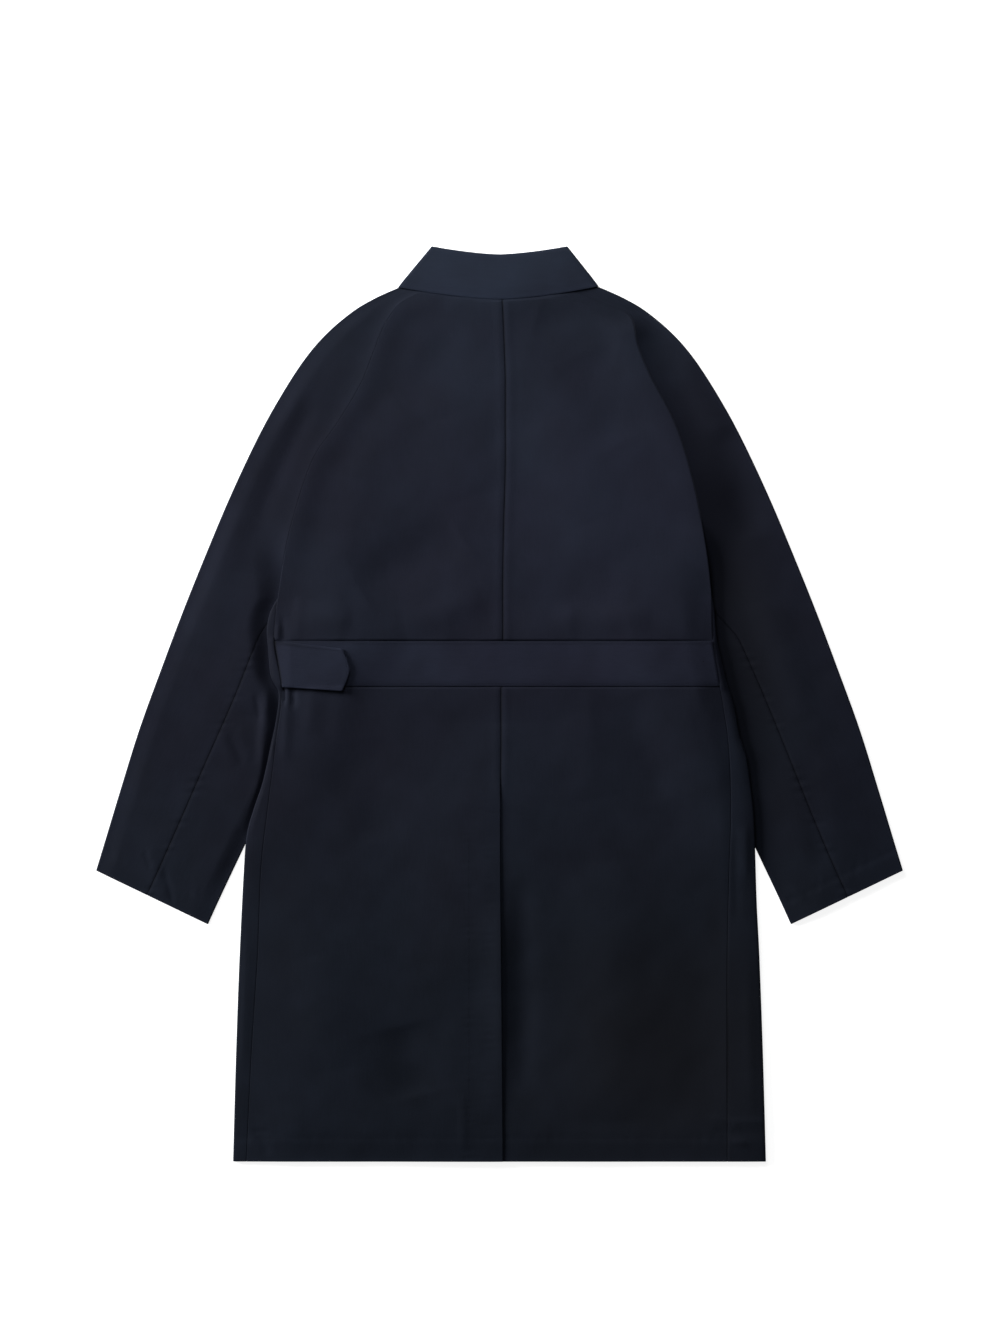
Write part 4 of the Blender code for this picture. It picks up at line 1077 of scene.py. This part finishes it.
def sleeve_rows(side):
    """Outer fold, upper seam, under edge and overarm seam of a sleeve's rows, as arrays of (x, y)."""
    edge = SIDE_NAME[side]
    station = even_stations(SLEEVE["over_x"], SLEEVE["over_y"], [UNDERARM])
    over = edge_points(SLEEVE, "over", station)
    under = edge_points(SLEEVE, "under", station)
    raglan = edge_points(BACK, edge, station)
    raglan = raglan + unit(over - raglan) * (sewn_edge(sewn_raglan(station, side)) - SEAM_INSET)[:, None]
    share = along(SLEEVE[edge + "_seam"], np.maximum(station, UNDERARM))
    elbow = over + (under - over) * share[:, None]
    arm = np.flatnonzero(station == UNDERARM)
    near_arm = 1 - smooth((station - UNDERARM) / UNDERARM_TUCK)
    elbow = elbow + (raglan[arm] - elbow[arm]) * near_arm[:, None]
    seam = np.where((station <= UNDERARM)[:, None], raglan, elbow)
    overarm = over + unit(under - over) * SLEEVE_SEAM_INSET
    mirror = np.array([side, 1.0])
    return station, over * mirror, seam * mirror, under * mirror, overarm * mirror


def cuff_distance(plan, side):
    """Distance of points from the line of the cuff."""
    over = np.array([side * SLEEVE["over_x"][CUFF], SLEEVE["over_y"][CUFF]])
    under = np.array([side * SLEEVE["under_x"][CUFF], SLEEVE["under_y"][CUFF]])
    run = unit(under - over)
    return np.abs((plan[..., 0] - over[0]) * run[1] - (plan[..., 1] - over[1]) * run[0])


def sleeve_seams(plan, side, from_seam, station):
    """Relief of a sleeve's seams: a groove with puckers along the underarm seam, and the cuff's hem."""
    run = plan[..., 1]
    seam = SLEEVE_PUCKER * puckers(run, from_seam) - SEAM_GROOVE * bell(from_seam / SEAM_GROOVE_WIDTH)
    below_arm = smooth((station - UNDERARM) / SEAM_FADE_IN)[:, None]
    return seam * below_arm + turned_hem(plan[..., 0], cuff_distance(plan, side), CUFF_DEPTH)


def sleeve_top(plan, side, station, to_over, to_under, from_seam):
    """Heights of the middle of a sleeve's upper layer, with the relief of its seams."""
    height = sleeve_bottom(plan[..., 0], plan[..., 1], to_over, to_under) + WALL / 2
    return height + sleeve_seams(plan, side, from_seam, station)


def on_floor(plan):
    """Middle points of cloth that lies on the floor."""
    return with_height(plan, np.full(plan.shape[:2], WALL / 2))


def sleeve_back(name, side):
    """Upper half of a sleeve, from its seam on top over the outer fold to the overarm seam below."""
    station, over, seam, under, overarm = sleeve_rows(side)
    outward = unit(over - seam)
    foot = over - outward * FOLD_REACH
    top_start = seam + outward * SEAM_INSET
    length = np.linalg.norm(foot - top_start, axis=1)
    distance = spread(length, FINE, FINE, SLEEVE_COLUMNS)
    top = rows_between(top_start, foot, distance)
    to_over = np.linalg.norm(top - foot[:, None, :], axis=2)
    to_under = np.linalg.norm(top - under[:, None, :], axis=2)
    height = sleeve_top(top, side, station, to_over, to_under, distance)
    lift = (back_bottom(seam[:, 0], seam[:, 1]) + WALL / 2 - height[:, 0]) * sewn_raglan(station, side)
    blend = np.minimum(RAGLAN_BLEND[side], length)[:, None]
    near_seam = np.maximum(1 - distance / blend, 0) ** 2
    height = height + lift[:, None] * near_seam * smooth(to_over / LIFT_CLEAR)
    floor = np.full(len(station), WALL / 2)
    turn = half_turn(foot, outward, height[:, -1], floor)
    below_end = overarm - unit(under - over) * SEAM_INSET
    below = on_floor(row_points(foot, below_end, np.linspace(0, 1, OVERARM_COLUMNS + 1)))
    middle = np.concatenate([with_height(top, height), turn, below], axis=1)
    wear_and_shade = np.zeros(middle.shape[:2])
    # Paler wear at the outer fold and the cuff, and painted shade along the seam on top.
    at_seam = np.where(station < UNDERARM, raglan_shade(side, station), UNDERARM_SHADE)[:, None]
    wear_and_shade[:, :top.shape[1]] = FOLD_WEAR * bell(to_over / FOLD_WEAR_WIDTH) - at_seam * seam_shade(distance)
    wear_and_shade[:, top.shape[1]:] = FOLD_WEAR
    wear_and_shade = wear_and_shade + bell(cuff_distance(middle, side) / HEM_WEAR)
    return cloth_shell(name, middle, WALL, wear_and_shade)


def sleeve_front(name, side):
    """Lower half of a sleeve: from the overarm seam along the floor to the hidden raglan seam.

    From the underarm down each row turns round the inner fold and comes back on top to the underarm seam.
    """
    station, over, seam, under, overarm = sleeve_rows(side)
    outward = unit(under - over)
    start = overarm + outward * SEAM_INSET
    foot = under - outward * FOLD_REACH
    floor_plan = row_points(start, foot, np.linspace(0, 1, SLEEVE_FLOOR_COLUMNS + 1))
    drop = neckline(floor_plan[0, :, 0]) - floor_plan[0, :, 1]
    floor_plan[..., 1] += drop * (1 - smooth(station / SLEEVE_NECK_STATIONS))[:, None]
    hook_end = seam - unit(over - seam) * SEAM_INSET
    hook_end = np.where((station < UNDERARM)[:, None], foot - outward * HIDDEN_HOOK, hook_end)
    length = np.linalg.norm(hook_end - foot, axis=1)
    distance = spread(length, FINE, FINE, SLEEVE_COLUMNS)
    hook = rows_between(foot, hook_end, distance)
    to_over = np.linalg.norm(hook - over[:, None, :], axis=2)
    to_under = np.linalg.norm(hook - foot[:, None, :], axis=2)
    from_seam = length[:, None] - distance
    height = sleeve_top(hook, side, station, to_over, to_under, from_seam)
    turn = half_turn(foot, outward, np.full(len(station), WALL / 2), height[:, 0])
    middle = np.concatenate([on_floor(floor_plan), turn, with_height(hook, height)], axis=1)
    keep = all_cells(middle)
    keep[station[:-1] < UNDERARM, SLEEVE_FLOOR_COLUMNS:] = False
    wear_and_shade = np.zeros(middle.shape[:2])
    # Paler wear at the inner fold and the cuff, and painted shade along the underarm seam.
    on_top = INNER_WEAR * bell(to_under / INNER_WEAR_WIDTH) - UNDERARM_SHADE * seam_shade(from_seam)
    wear_and_shade[:, -hook.shape[1]:] = on_top
    wear_and_shade = wear_and_shade + bell(cuff_distance(middle, side) / HEM_WEAR)
    return cloth_shell(name, middle, WALL, wear_and_shade, keep)


def collar_front(side, v, fold_x, fold_y, fold_z):
    """One front end of the collar: round the fold, and along the floor to the centre front."""
    a = np.linspace(0, 1, COLLAR_FRONT_COLUMNS + 1)
    foot = pairs(side * (fold_x - FOLD_REACH), fold_y)
    outward = np.tile([float(side), 0.0], (len(v), 1))
    turn = half_turn(foot, outward, fold_z, np.full(len(v), BAND_WALL / 2))
    end_x = side * (COLLAR_END_GAP + RIM)
    front_x = foot[:, None, 0] + (end_x - foot[:, None, 0]) * a[None, :]
    low = neckline(front_x[:1]) + NECK_CLEAR + RIM
    low = low + (fold_y[0] - low[0, 0]) * (1 - a) ** COLLAR_FOOT_BLEND
    top_y = COLLAR_FOLD_TOP[1]
    high = top_y + (NECK_FRONT + COLLAR_FRONT_HEIGHT - top_y) * 2 * smooth(a / 2)
    front_y = low + (high[None, :] - low) * v[:, None]
    front = np.stack([front_x, front_y, np.full(front_x.shape, BAND_WALL / 2)], axis=2)
    return np.concatenate([turn, front], axis=1)


def collar_band(name):
    """Stand collar: one band, folded flat at both sides of the neck, its ends at the centre front.

    The columns run from the left end round the left fold, across the back, round the right fold to the
    right end. The rows run from the neck seam to the upper edge, and stand up between them as a low arch.
    """
    v = np.linspace(0, 1, COLLAR_ROWS + 1)
    top_x, top_y = COLLAR_FOLD_TOP
    fold_x = {side: foot_x + (top_x - foot_x) * v for side, (foot_x, foot_y) in COLLAR_FOLD_FOOT.items()}
    fold_y = {side: foot_y + (top_y - foot_y) * v for side, (foot_x, foot_y) in COLLAR_FOLD_FOOT.items()}
    b = np.linspace(-1, 1, COLLAR_BACK_COLUMNS + 1)
    foot_level = by_side(b, COLLAR_FOLD_FOOT[LEFT][1], COLLAR_FOLD_FOOT[RIGHT][1])
    seam = COLLAR_SEAM + (foot_level - COLLAR_SEAM) * np.abs(b) ** COLLAR_SEAM_POWER
    top = COLLAR_TOP + (top_y - COLLAR_TOP) * np.abs(b) ** COLLAR_TOP_POWER
    half_width = by_side(b[None, :], fold_x[LEFT][:, None], fold_x[RIGHT][:, None]) - FOLD_REACH
    back_y = seam[None, :] + (top - seam)[None, :] * v[:, None]
    arch = COLLAR_CROWN * (4 * v * (1 - v))[:, None] * (1 - b ** COLLAR_CROWN_POWER)[None, :]
    pressed = EDGE_PRESS * bell(v * COLLAR_EDGE)
    back_z = (COLLAR_FOOT_Z + (COLLAR_TOP_Z - COLLAR_FOOT_Z) * v - pressed / 2)[:, None] + arch
    back = np.stack([half_width * b[None, :], back_y, back_z], axis=2)
    fronts = [collar_front(side, v, fold_x[side], fold_y[side], back_z[:, 0]) for side in (LEFT, RIGHT)]
    middle = np.concatenate([fronts[0][:, ::-1], back, fronts[1]], axis=1)
    wear_and_shade = bell((v - 1) * COLLAR_WEAR) + bell(v * COLLAR_WEAR)
    wall = np.tile((BAND_WALL - pressed)[:, None], (1, middle.shape[1]))
    return cloth_shell(name, middle, wall, np.tile(wear_and_shade[:, None], (1, middle.shape[1])))


def belt_bed(x, y):
    """Underside of the belt: the back's upper side and the gap over it."""
    return back_bottom(x, y) + WALL + BELT_GAP


def tab_bed(x, y):
    """Underside of the tab: close to the back at its root, rising on to the belt, and curling up."""
    start, end = TAB_SETTLE
    settled = smooth((x - start) / (end - start))
    curl = TAB_CURL * np.maximum(1 - (TAB_TIP - x) / TAB_CURL_LENGTH, 0) ** 2
    return belt_bed(x, y) + (BAND_WALL + 2 * BELT_GAP - ROOT_GAP) * settled + ROOT_GAP - BELT_GAP + curl


def belt_wall(v):
    """Thickness of the belt at the shares v of its width from the top: thinner at its lower edge."""
    return BAND_WALL - EDGE_PRESS * bell((v - 1) * BELT_EDGE)


def belt_top(x, y):
    """Upper side of the belt: its underside and its thickness."""
    return belt_bed(x, y) + belt_wall((BELT_TOP - y) / (BELT_TOP - BELT_BOTTOM))


def half_belt(name):
    """Half belt: a straight band on the back, from under the tab to the right side seam."""
    v = np.linspace(0, 1, BELT_ROWS + 1)
    start_x = BELT_START - BELT_POINT * np.maximum(1 - v / BELT_POINT_DEPTH, 0)
    start = pairs(start_x, BELT_TOP + (BELT_BOTTOM - BELT_TOP) * v)
    end_x = BELT_END_TOP + (BELT_END_BOTTOM - BELT_END_TOP) * v
    plan = row_points(start, pairs(end_x, start[:, 1]), np.linspace(0, 1, BELT_COLUMNS + 1))
    wall = np.tile(belt_wall(v)[:, None], (1, plan.shape[1]))
    height = belt_bed(plan[..., 0], plan[..., 1]) + wall / 2
    # painted shade along the belt's upper edge
    wear_and_shade = np.tile(-BELT_SHADE * bell(v * BELT_SHADE_EDGE)[:, None], (1, plan.shape[1]))
    return cloth_shell(name, with_height(plan, height), wall, wear_and_shade)


def tab_ends(v):
    """Ends of the tab's straight rows at the shares v down it: its slanting root, and its blunt tip."""
    root_x = TAB_ROOT_TOP + (TAB_ROOT_BOTTOM - TAB_ROOT_TOP) * v
    root = pairs(root_x, TAB_TOP_ROOT + (TAB_BOTTOM_ROOT - TAB_TOP_ROOT) * v)
    tip_x = TAB_TIP - TAB_CHAMFER * np.abs(2 * v - 1) ** TAB_TIP_POWER
    tip = pairs(tip_x, TAB_TOP_TIP + (TAB_BOTTOM_TIP - TAB_TOP_TIP) * v)
    return root, tip


def belt_tab(name):
    """Pointed tab: a band from the left side seam that lies on the belt's end, its tip cut blunt."""
    v = np.linspace(0, 1, TAB_ROWS + 1)
    u = np.linspace(0, 1, TAB_COLUMNS + 1)
    plan = row_points(*tab_ends(v), u)
    height = tab_bed(plan[..., 0], plan[..., 1]) + BAND_WALL / 2
    wear_and_shade = np.maximum(bell((v - 1) * TAB_SIDE_WEAR)[:, None], bell((u - 1) * TAB_TIP_WEAR)[None, :])
    # painted shade along its upper edge, fading out towards the tip, and along its root
    wear_and_shade = wear_and_shade - TAB_SHADE * bell(v * TAB_SHADE_EDGE)[:, None] * (1 - smooth(u))[None, :]
    wear_and_shade = wear_and_shade - seam_shade(plan[..., 0] - plan[:, :1, 0])
    return cloth_shell(name, with_height(plan, height), BAND_WALL, wear_and_shade)


def stitch_line(name, path, height, thread=THREAD):
    """A row of stitches along a path at the given heights: one slim six-sided bead for each stitch.

    A bead's half thickness is the thread's times the root of the sine along its length.
    """
    run = np.concatenate([[0], np.cumsum(np.linalg.norm(np.diff(path, axis=0), axis=1))])
    middle = np.arange(STITCH_STEP / 2, run[-1], STITCH_STEP)
    ends = [np.clip(middle + shift * STITCH / 2, 0, run[-1]) for shift in (-1, 1)]
    line = np.concatenate([path, height[:, None]], axis=1)
    at = [np.stack([np.interp(end, run, line[:, k]) for k in range(3)], axis=1) for end in ends]
    share = np.linspace(0, 1, BEAD_RINGS)
    core = at[0][:, None, :] + (at[1] - at[0])[:, None, :] * share[None, :, None]
    forward = unit(at[1] - at[0])
    aside = unit(np.cross(forward, [0.0, 0.0, 1.0]))
    upward = np.cross(aside, forward)
    angle = np.linspace(0, 2 * np.pi, BEAD_SIDES, endpoint=False)[:, None]
    thick = thread * np.sqrt(np.sin(np.pi * np.clip(share, BEAD_END, 1 - BEAD_END)))
    ring = aside[:, None, :] * np.cos(angle) + upward[:, None, :] * np.sin(angle)
    points = core[:, :, None, :] + ring[:, None, :, :] * thick[None, :, None, None]
    points[..., 2] += thread - STITCH_SINK
    index = np.arange(points[..., 0].size).reshape(points.shape[:3])
    near, far = index[:, :-1], index[:, 1:]
    sides = np.stack([near, np.roll(near, -1, 2), np.roll(far, -1, 2), far], axis=-1).reshape(-1, 4)
    caps = []
    for ring_index, order in ((index[:, 0], -1), (index[:, -1], 1)):
        caps += [ring_index[:, [0, 1, 2, 3]][:, ::order], ring_index[:, [0, 3, 4, 5]][:, ::order]]
    faces = np.concatenate([sides, *caps])
    return mesh_piece(name, points.reshape(-1, 3), faces)


def straight(start, end):
    """Points of a straight path in the plan, between two ends in millimetres."""
    return np.linspace(start, end, STITCH_PATH_POINTS) * MM


def back_stitches():
    """Stitches of the back: the vent's facing, the slanting bar at its top, and both hems."""
    made = []
    for name, start, end in BACK_STITCHES:
        x, y = straight(start, end).T
        made.append(stitch_line(name, pairs(x, y), back_bottom(x, y) + flap_lift(x, y) * (x < 0) + WALL))
    return made


def belt_stitches():
    """Stitches close to the edges of the belt, and the bar tack at its end."""
    made = []
    for name, start, end, thread, depth in BELT_STITCHES:
        path = straight(start, end)
        made.append(stitch_line(name, path, belt_top(*path.T) - depth, thread))
    return made


def tab_stitches():
    """Stitches close to the edge of the tab: along its upper edge, round the tip and back."""
    count = TAB_STITCH_POINTS
    high, low = TAB_STITCH_INSET, 1 - TAB_STITCH_INSET
    near, far = TAB_STITCH_FROM, TAB_STITCH_TO
    v = np.concatenate([np.full(count, high), np.linspace(high, low, count), np.full(count, low)])
    there = np.linspace(near, far, count)
    u = np.concatenate([there, np.full(count, far), there[::-1]])
    root, tip = tab_ends(v)
    path = root + (tip - root) * u[:, None]
    return [stitch_line("tab_stitches", path, tab_bed(*path.T) + BAND_WALL)]


class Shade:
    """One output socket of a material's nodes. Sums, differences and products of it add Math nodes."""

    def __init__(self, tree, socket=None):
        self.tree = tree
        self.socket = socket

    def node(self, kind, settings, sockets, output=0):
        """A new node of any kind: its settings are set first, then the values or links of its sockets."""
        made = self.tree.nodes.new(kind)
        for name, value in settings.items():
            setattr(made, name, value)
        for name, value in sockets.items():
            if isinstance(value, Shade):
                self.tree.links.new(value.socket, made.inputs[name])
            else:
                made.inputs[name].default_value = value
        return Shade(self.tree, made.outputs[output])

    def math(self, operation, first, second=0.0):
        """A Math node of the given operation."""
        return self.node("ShaderNodeMath", {"operation": operation}, {0: first, 1: second})

    def __add__(self, other):
        return self.math("ADD", self, other)

    def __radd__(self, other):
        return self.math("ADD", other, self)

    def __sub__(self, other):
        return self.math("SUBTRACT", self, other)

    def __mul__(self, other):
        return self.math("MULTIPLY", self, other)

    def sine(self):
        """Sine of this value, in radians."""
        return self.math("SINE", self)

    def kept(self):
        """The same value, kept between 0 and 1."""
        return self.node("ShaderNodeClamp", {}, {"Value": self})

    def part(self, axis):
        """One coordinate of this place."""
        return self.node("ShaderNodeSeparateXYZ", {}, {"Vector": self}, axis)

    def leaning(self, turn, stretch=1.0):
        """This place turned in the plan, and then scaled along the turned Y."""
        turned = self.node("ShaderNodeMapping", {}, {"Vector": self, "Rotation": (0.0, 0.0, turn)})
        return self.node("ShaderNodeMapping", {}, {"Vector": turned, "Scale": (1.0, stretch, 1.0)})

    def near(self, middle, width):
        """1 where this place is a given point, falling off as a bell of the distance from it."""
        away = self.node("ShaderNodeVectorMath", {"operation": "DISTANCE"}, {0: self, 1: middle}, "Value")
        away = away * (1 / width)
        return self.math("EXPONENT", away * away * -1.0)

    def noise(self, scale, detail):
        """Soft cloudy values about 0 over this place."""
        sockets = {"Vector": self, "Scale": scale, "Detail": detail, "Roughness": NOISE_ROUGHNESS}
        return self.node("ShaderNodeTexNoise", {"noise_dimensions": "3D"}, sockets) - 0.5

    def mixed(self, first, second):
        """Colour between two others, at this share of the way."""
        return self.node("ShaderNodeMix", {"data_type": "RGBA"}, {0: self, 6: first, 7: second}, 2)

    def feed(self, shader, name):
        """Link this socket to one of the shader's inputs."""
        self.tree.links.new(self.socket, shader.inputs[name])


def new_material(name, constants):
    """Material with constant inputs of its shader: the material, the shader and a Shade to start from."""
    material = bpy.data.materials.new(name)
    material.use_nodes = True
    tree = material.node_tree
    shader = tree.nodes["Principled BSDF"]
    for socket, value in constants.items():
        shader.inputs[socket].default_value = value
    return material, shader, Shade(tree)


def dye(place, cloud, pale, tone, patches):
    """Colour of the dye: purple about the chest and teal away from it, deep or pale, with soft patches of
    painted light and shade, and the grey one.
    """
    for middle, width, strength in LIGHT_AND_SHADE_PATCHES:
        pale = pale + place.near(middle, width) * strength
    from_chest = place.part("Y") - CHEST_LEVEL
    cool = (COOL + from_chest * from_chest * COOL_RISE + cloud * COOL_CLOUD).kept()
    deep = cool.mixed(colour(DEEP_PURPLE, tone), colour(DEEP_TEAL, tone))
    light = cool.mixed(colour(PALE_PURPLE, tone), colour(PALE_TEAL, tone))
    dyed = pale.kept().mixed(deep, light)
    for lean, stretch, middle, width, patch_colour, strength in patches:
        patch = place.leaning(lean, stretch).near(middle, width)
        dyed = (patch * strength).mixed(dyed, colour(patch_colour, tone))
    return dyed


def cloth_finish(name, turn, tone, patches=()):
    """Cotton twill: fine slanting ribs, dye in soft clouds, slubs along the yarn, paler worn edges, and
    painted shade.

    turn is the angle of the yarn in the plan, tone scales the brightness of the dye, and patches are rows
    of long soft spots of painted shade in another colour.
    """
    material, shader, nodes = new_material(name, {
        "Specular IOR Level": SPECULAR,
        "Sheen Weight": SHEEN,
        "Sheen Roughness": SHEEN_ROUGHNESS,
        "Sheen Tint": SHEEN_TINT,
    })
    place = nodes.node("ShaderNodeTexCoord", {}, {}, "Object")
    yarn = place.leaning(turn)
    cloud = place.noise(*CLOUD)
    blotch = place.noise(*BLOTCH)
    grit = place.noise(*GRIT)
    slub = place.leaning(turn, SLUB_STRETCH).noise(*SLUB)
    wear_and_shade_attribute = nodes.node("ShaderNodeAttribute", {"attribute_name": "wear_and_shade_attribute"}, {}, "Fac")
    # The attribute's positive part is the paler wear, and its negative part the painted shade.
    wear_and_shade = wear_and_shade_attribute.math("MAXIMUM", wear_and_shade_attribute, 0.0)
    painted_shade = wear_and_shade_attribute.math("MAXIMUM", wear_and_shade_attribute * -1.0, 0.0)
    rib = ((yarn.part("X") + yarn.part("Y") * RIB_SLANT) * (2 * np.pi / RIB_PITCH)).sine()
    pale = PALE + cloud * PALE_CLOUD + blotch * PALE_BLOTCH + slub * PALE_SLUB + wear_and_shade * PALE_WORN
    dyed = dye(place, cloud, pale, tone, (GREY_PATCH, *patches))
    # Painted shade: the dye goes towards a dark navy where the attribute is negative.
    with_painted_shade = (painted_shade * PAINTED_SHADE_DARKNESS).kept().mixed(dyed, colour(PAINTED_SHADE_NAVY, 1.0))
    with_painted_shade.feed(shader, "Base Color")
    rough = ROUGH + grit * ROUGH_GRIT + blotch * ROUGH_BLOTCH
    rough.feed(shader, "Roughness")
    relief = rib * RIB_RELIEF + grit * GRIT_RELIEF + slub * SLUB_RELIEF
    bump = nodes.node("ShaderNodeBump", {}, {"Strength": BUMP, "Distance": BUMP_DEPTH, "Height": relief})
    bump.feed(shader, "Normal")
    return material


def thread_finish(name, tone):
    """Navy sewing thread: two plies twisted round each other, with a dull shine."""
    material, shader, nodes = new_material(name, {"Specular IOR Level": THREAD_SPECULAR})
    place = nodes.node("ShaderNodeTexCoord", {}, {}, "Object")
    ply = place.noise(*PLY) + 0.5
    dyed = ply.kept().mixed(colour(DEEP_PURPLE, tone), colour(PALE_TEAL, tone))
    dyed.feed(shader, "Base Color")
    rough = THREAD_ROUGH + ply * THREAD_ROUGH_PLY
    rough.feed(shader, "Roughness")
    return material


def colour(values, tone):
    """A named colour made lighter or darker."""
    return tuple(value * tone for value in values) + (1.0,)


def studio_floor():
    """White floor that glows a little, as a lit table does, so that the coat throws almost no shadow."""
    mesh = bpy.data.meshes.new("studio_floor")
    half = FLOOR_HALF
    corners = [(-half, -half, 0), (half, -half, 0), (half, half, 0), (-half, half, 0)]
    mesh.from_pydata(corners, [], [(0, 1, 2, 3)])
    floor = bpy.data.objects.new("studio_floor", mesh)
    floor.location = (0, 0, -FLOOR_DROP)
    bpy.context.scene.collection.objects.link(floor)
    constants = {
        "Base Color": FLOOR_GREY,
        "Roughness": FLOOR_ROUGH,
        "Specular IOR Level": 0.0,
        "Emission Color": (1.0, 1.0, 1.0, 1.0),
        "Emission Strength": FLOOR_GLOW,
    }
    mesh.materials.append(new_material("white floor", constants)[0])


def soft_box(name, place, size, watts):
    """Square area light that faces the middle of the coat."""
    light = bpy.data.lights.new(name, "AREA")
    light.size = size
    light.energy = watts
    lamp = bpy.data.objects.new(name, light)
    lamp.location = place
    x, y, z = place
    lamp.rotation_euler = (np.arctan2(np.hypot(x, y), z), 0.0, np.arctan2(x, -y))
    bpy.context.scene.collection.objects.link(lamp)


def studio_light():
    """A low key from the left, a soft light from the collar's end, a weak fill, and a white room."""
    for name, place, size, watts in LIGHTS:
        soft_box(name, place, size, watts)
    world = bpy.data.worlds.new("white room")
    world.use_nodes = True
    background = world.node_tree.nodes["Background"]
    background.inputs["Color"].default_value = ROOM_WHITE
    background.inputs["Strength"].default_value = ROOM
    bpy.context.scene.world = world


def overhead_camera():
    """Camera straight above, its long lens chosen so that the frame takes in FRAME_HEIGHT at the coat."""
    camera = bpy.data.cameras.new("overhead")
    camera.lens = camera.sensor_width * CAMERA_HEIGHT / FRAME_HEIGHT
    holder = bpy.data.objects.new("overhead", camera)
    holder.location = (*CAMERA_AIM, CAMERA_HEIGHT + COAT_LEVEL)
    bpy.context.scene.collection.objects.link(holder)
    bpy.context.scene.camera = holder


def cloth_pieces():
    """Every piece of cloth and its material, by the node that it stands for."""
    run_x = SLEEVE["over_x"][CUFF] - SLEEVE["over_x"][SHOULDER]
    run_y = SLEEVE["over_y"][SHOULDER] - SLEEVE["over_y"][CUFF]
    sleeve_turn = np.arctan2(run_x, run_y)
    body_cloth = cloth_finish("coat cloth", 0.0, CLOTH_TONE, BODY_SHADE_PATCHES)
    band_cloth = cloth_finish("doubled cloth", np.pi / 2, BAND_TONE)
    pieces = {}
    for side, edge in SIDE_NAME.items():
        patches = SLEEVE_SHADE_PATCHES[side]
        sleeve_cloth = cloth_finish(edge + " sleeve cloth", -side * sleeve_turn, CLOTH_TONE, patches)
        panels = (
            ("back_%s", back_panel, body_cloth),
            ("front_%s", front_panel, body_cloth),
            ("sleeve_%s_back", sleeve_back, sleeve_cloth),
            ("sleeve_%s_front", sleeve_front, sleeve_cloth),
        )
        for name, make, cloth in panels:
            node = name % edge
            pieces[node] = make(node + "_cloth", side), cloth
    for node, make in (("collar", collar_band), ("belt", half_belt), ("belt_tab", belt_tab)):
        pieces[node] = make(node + "_cloth"), band_cloth
    return pieces


def dress(pieces, trims):
    """Give each piece and its stitches their materials, tie them to the frame, and hide the piece's solid.
    """
    thread = thread_finish("navy thread", THREAD_TONE)
    dark_thread = thread_finish("dark thread", DARK_THREAD_TONE)
    for node, (piece, material) in pieces.items():
        slot = "band" if node in ("collar", "belt", "belt_tab") else "cloth"
        sewn_on = trims.get(node, [])
        piece.data.materials.append(material)
        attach(piece, "root")
        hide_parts(node)
        for trim in sewn_on:
            trim.data.materials.append(dark_thread if trim.name == "belt_bar_tack" else thread)
            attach(trim, "root")


def main():
    """Load the frame, dress it, set up the studio and set the view transform."""
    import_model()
    pieces = cloth_pieces()
    trims = {"back_left": back_stitches(), "belt": belt_stitches(), "belt_tab": tab_stitches()}
    dress(pieces, trims)
    studio_floor()
    studio_light()
    overhead_camera()
    bpy.context.scene.view_settings.view_transform = "Standard"


main()
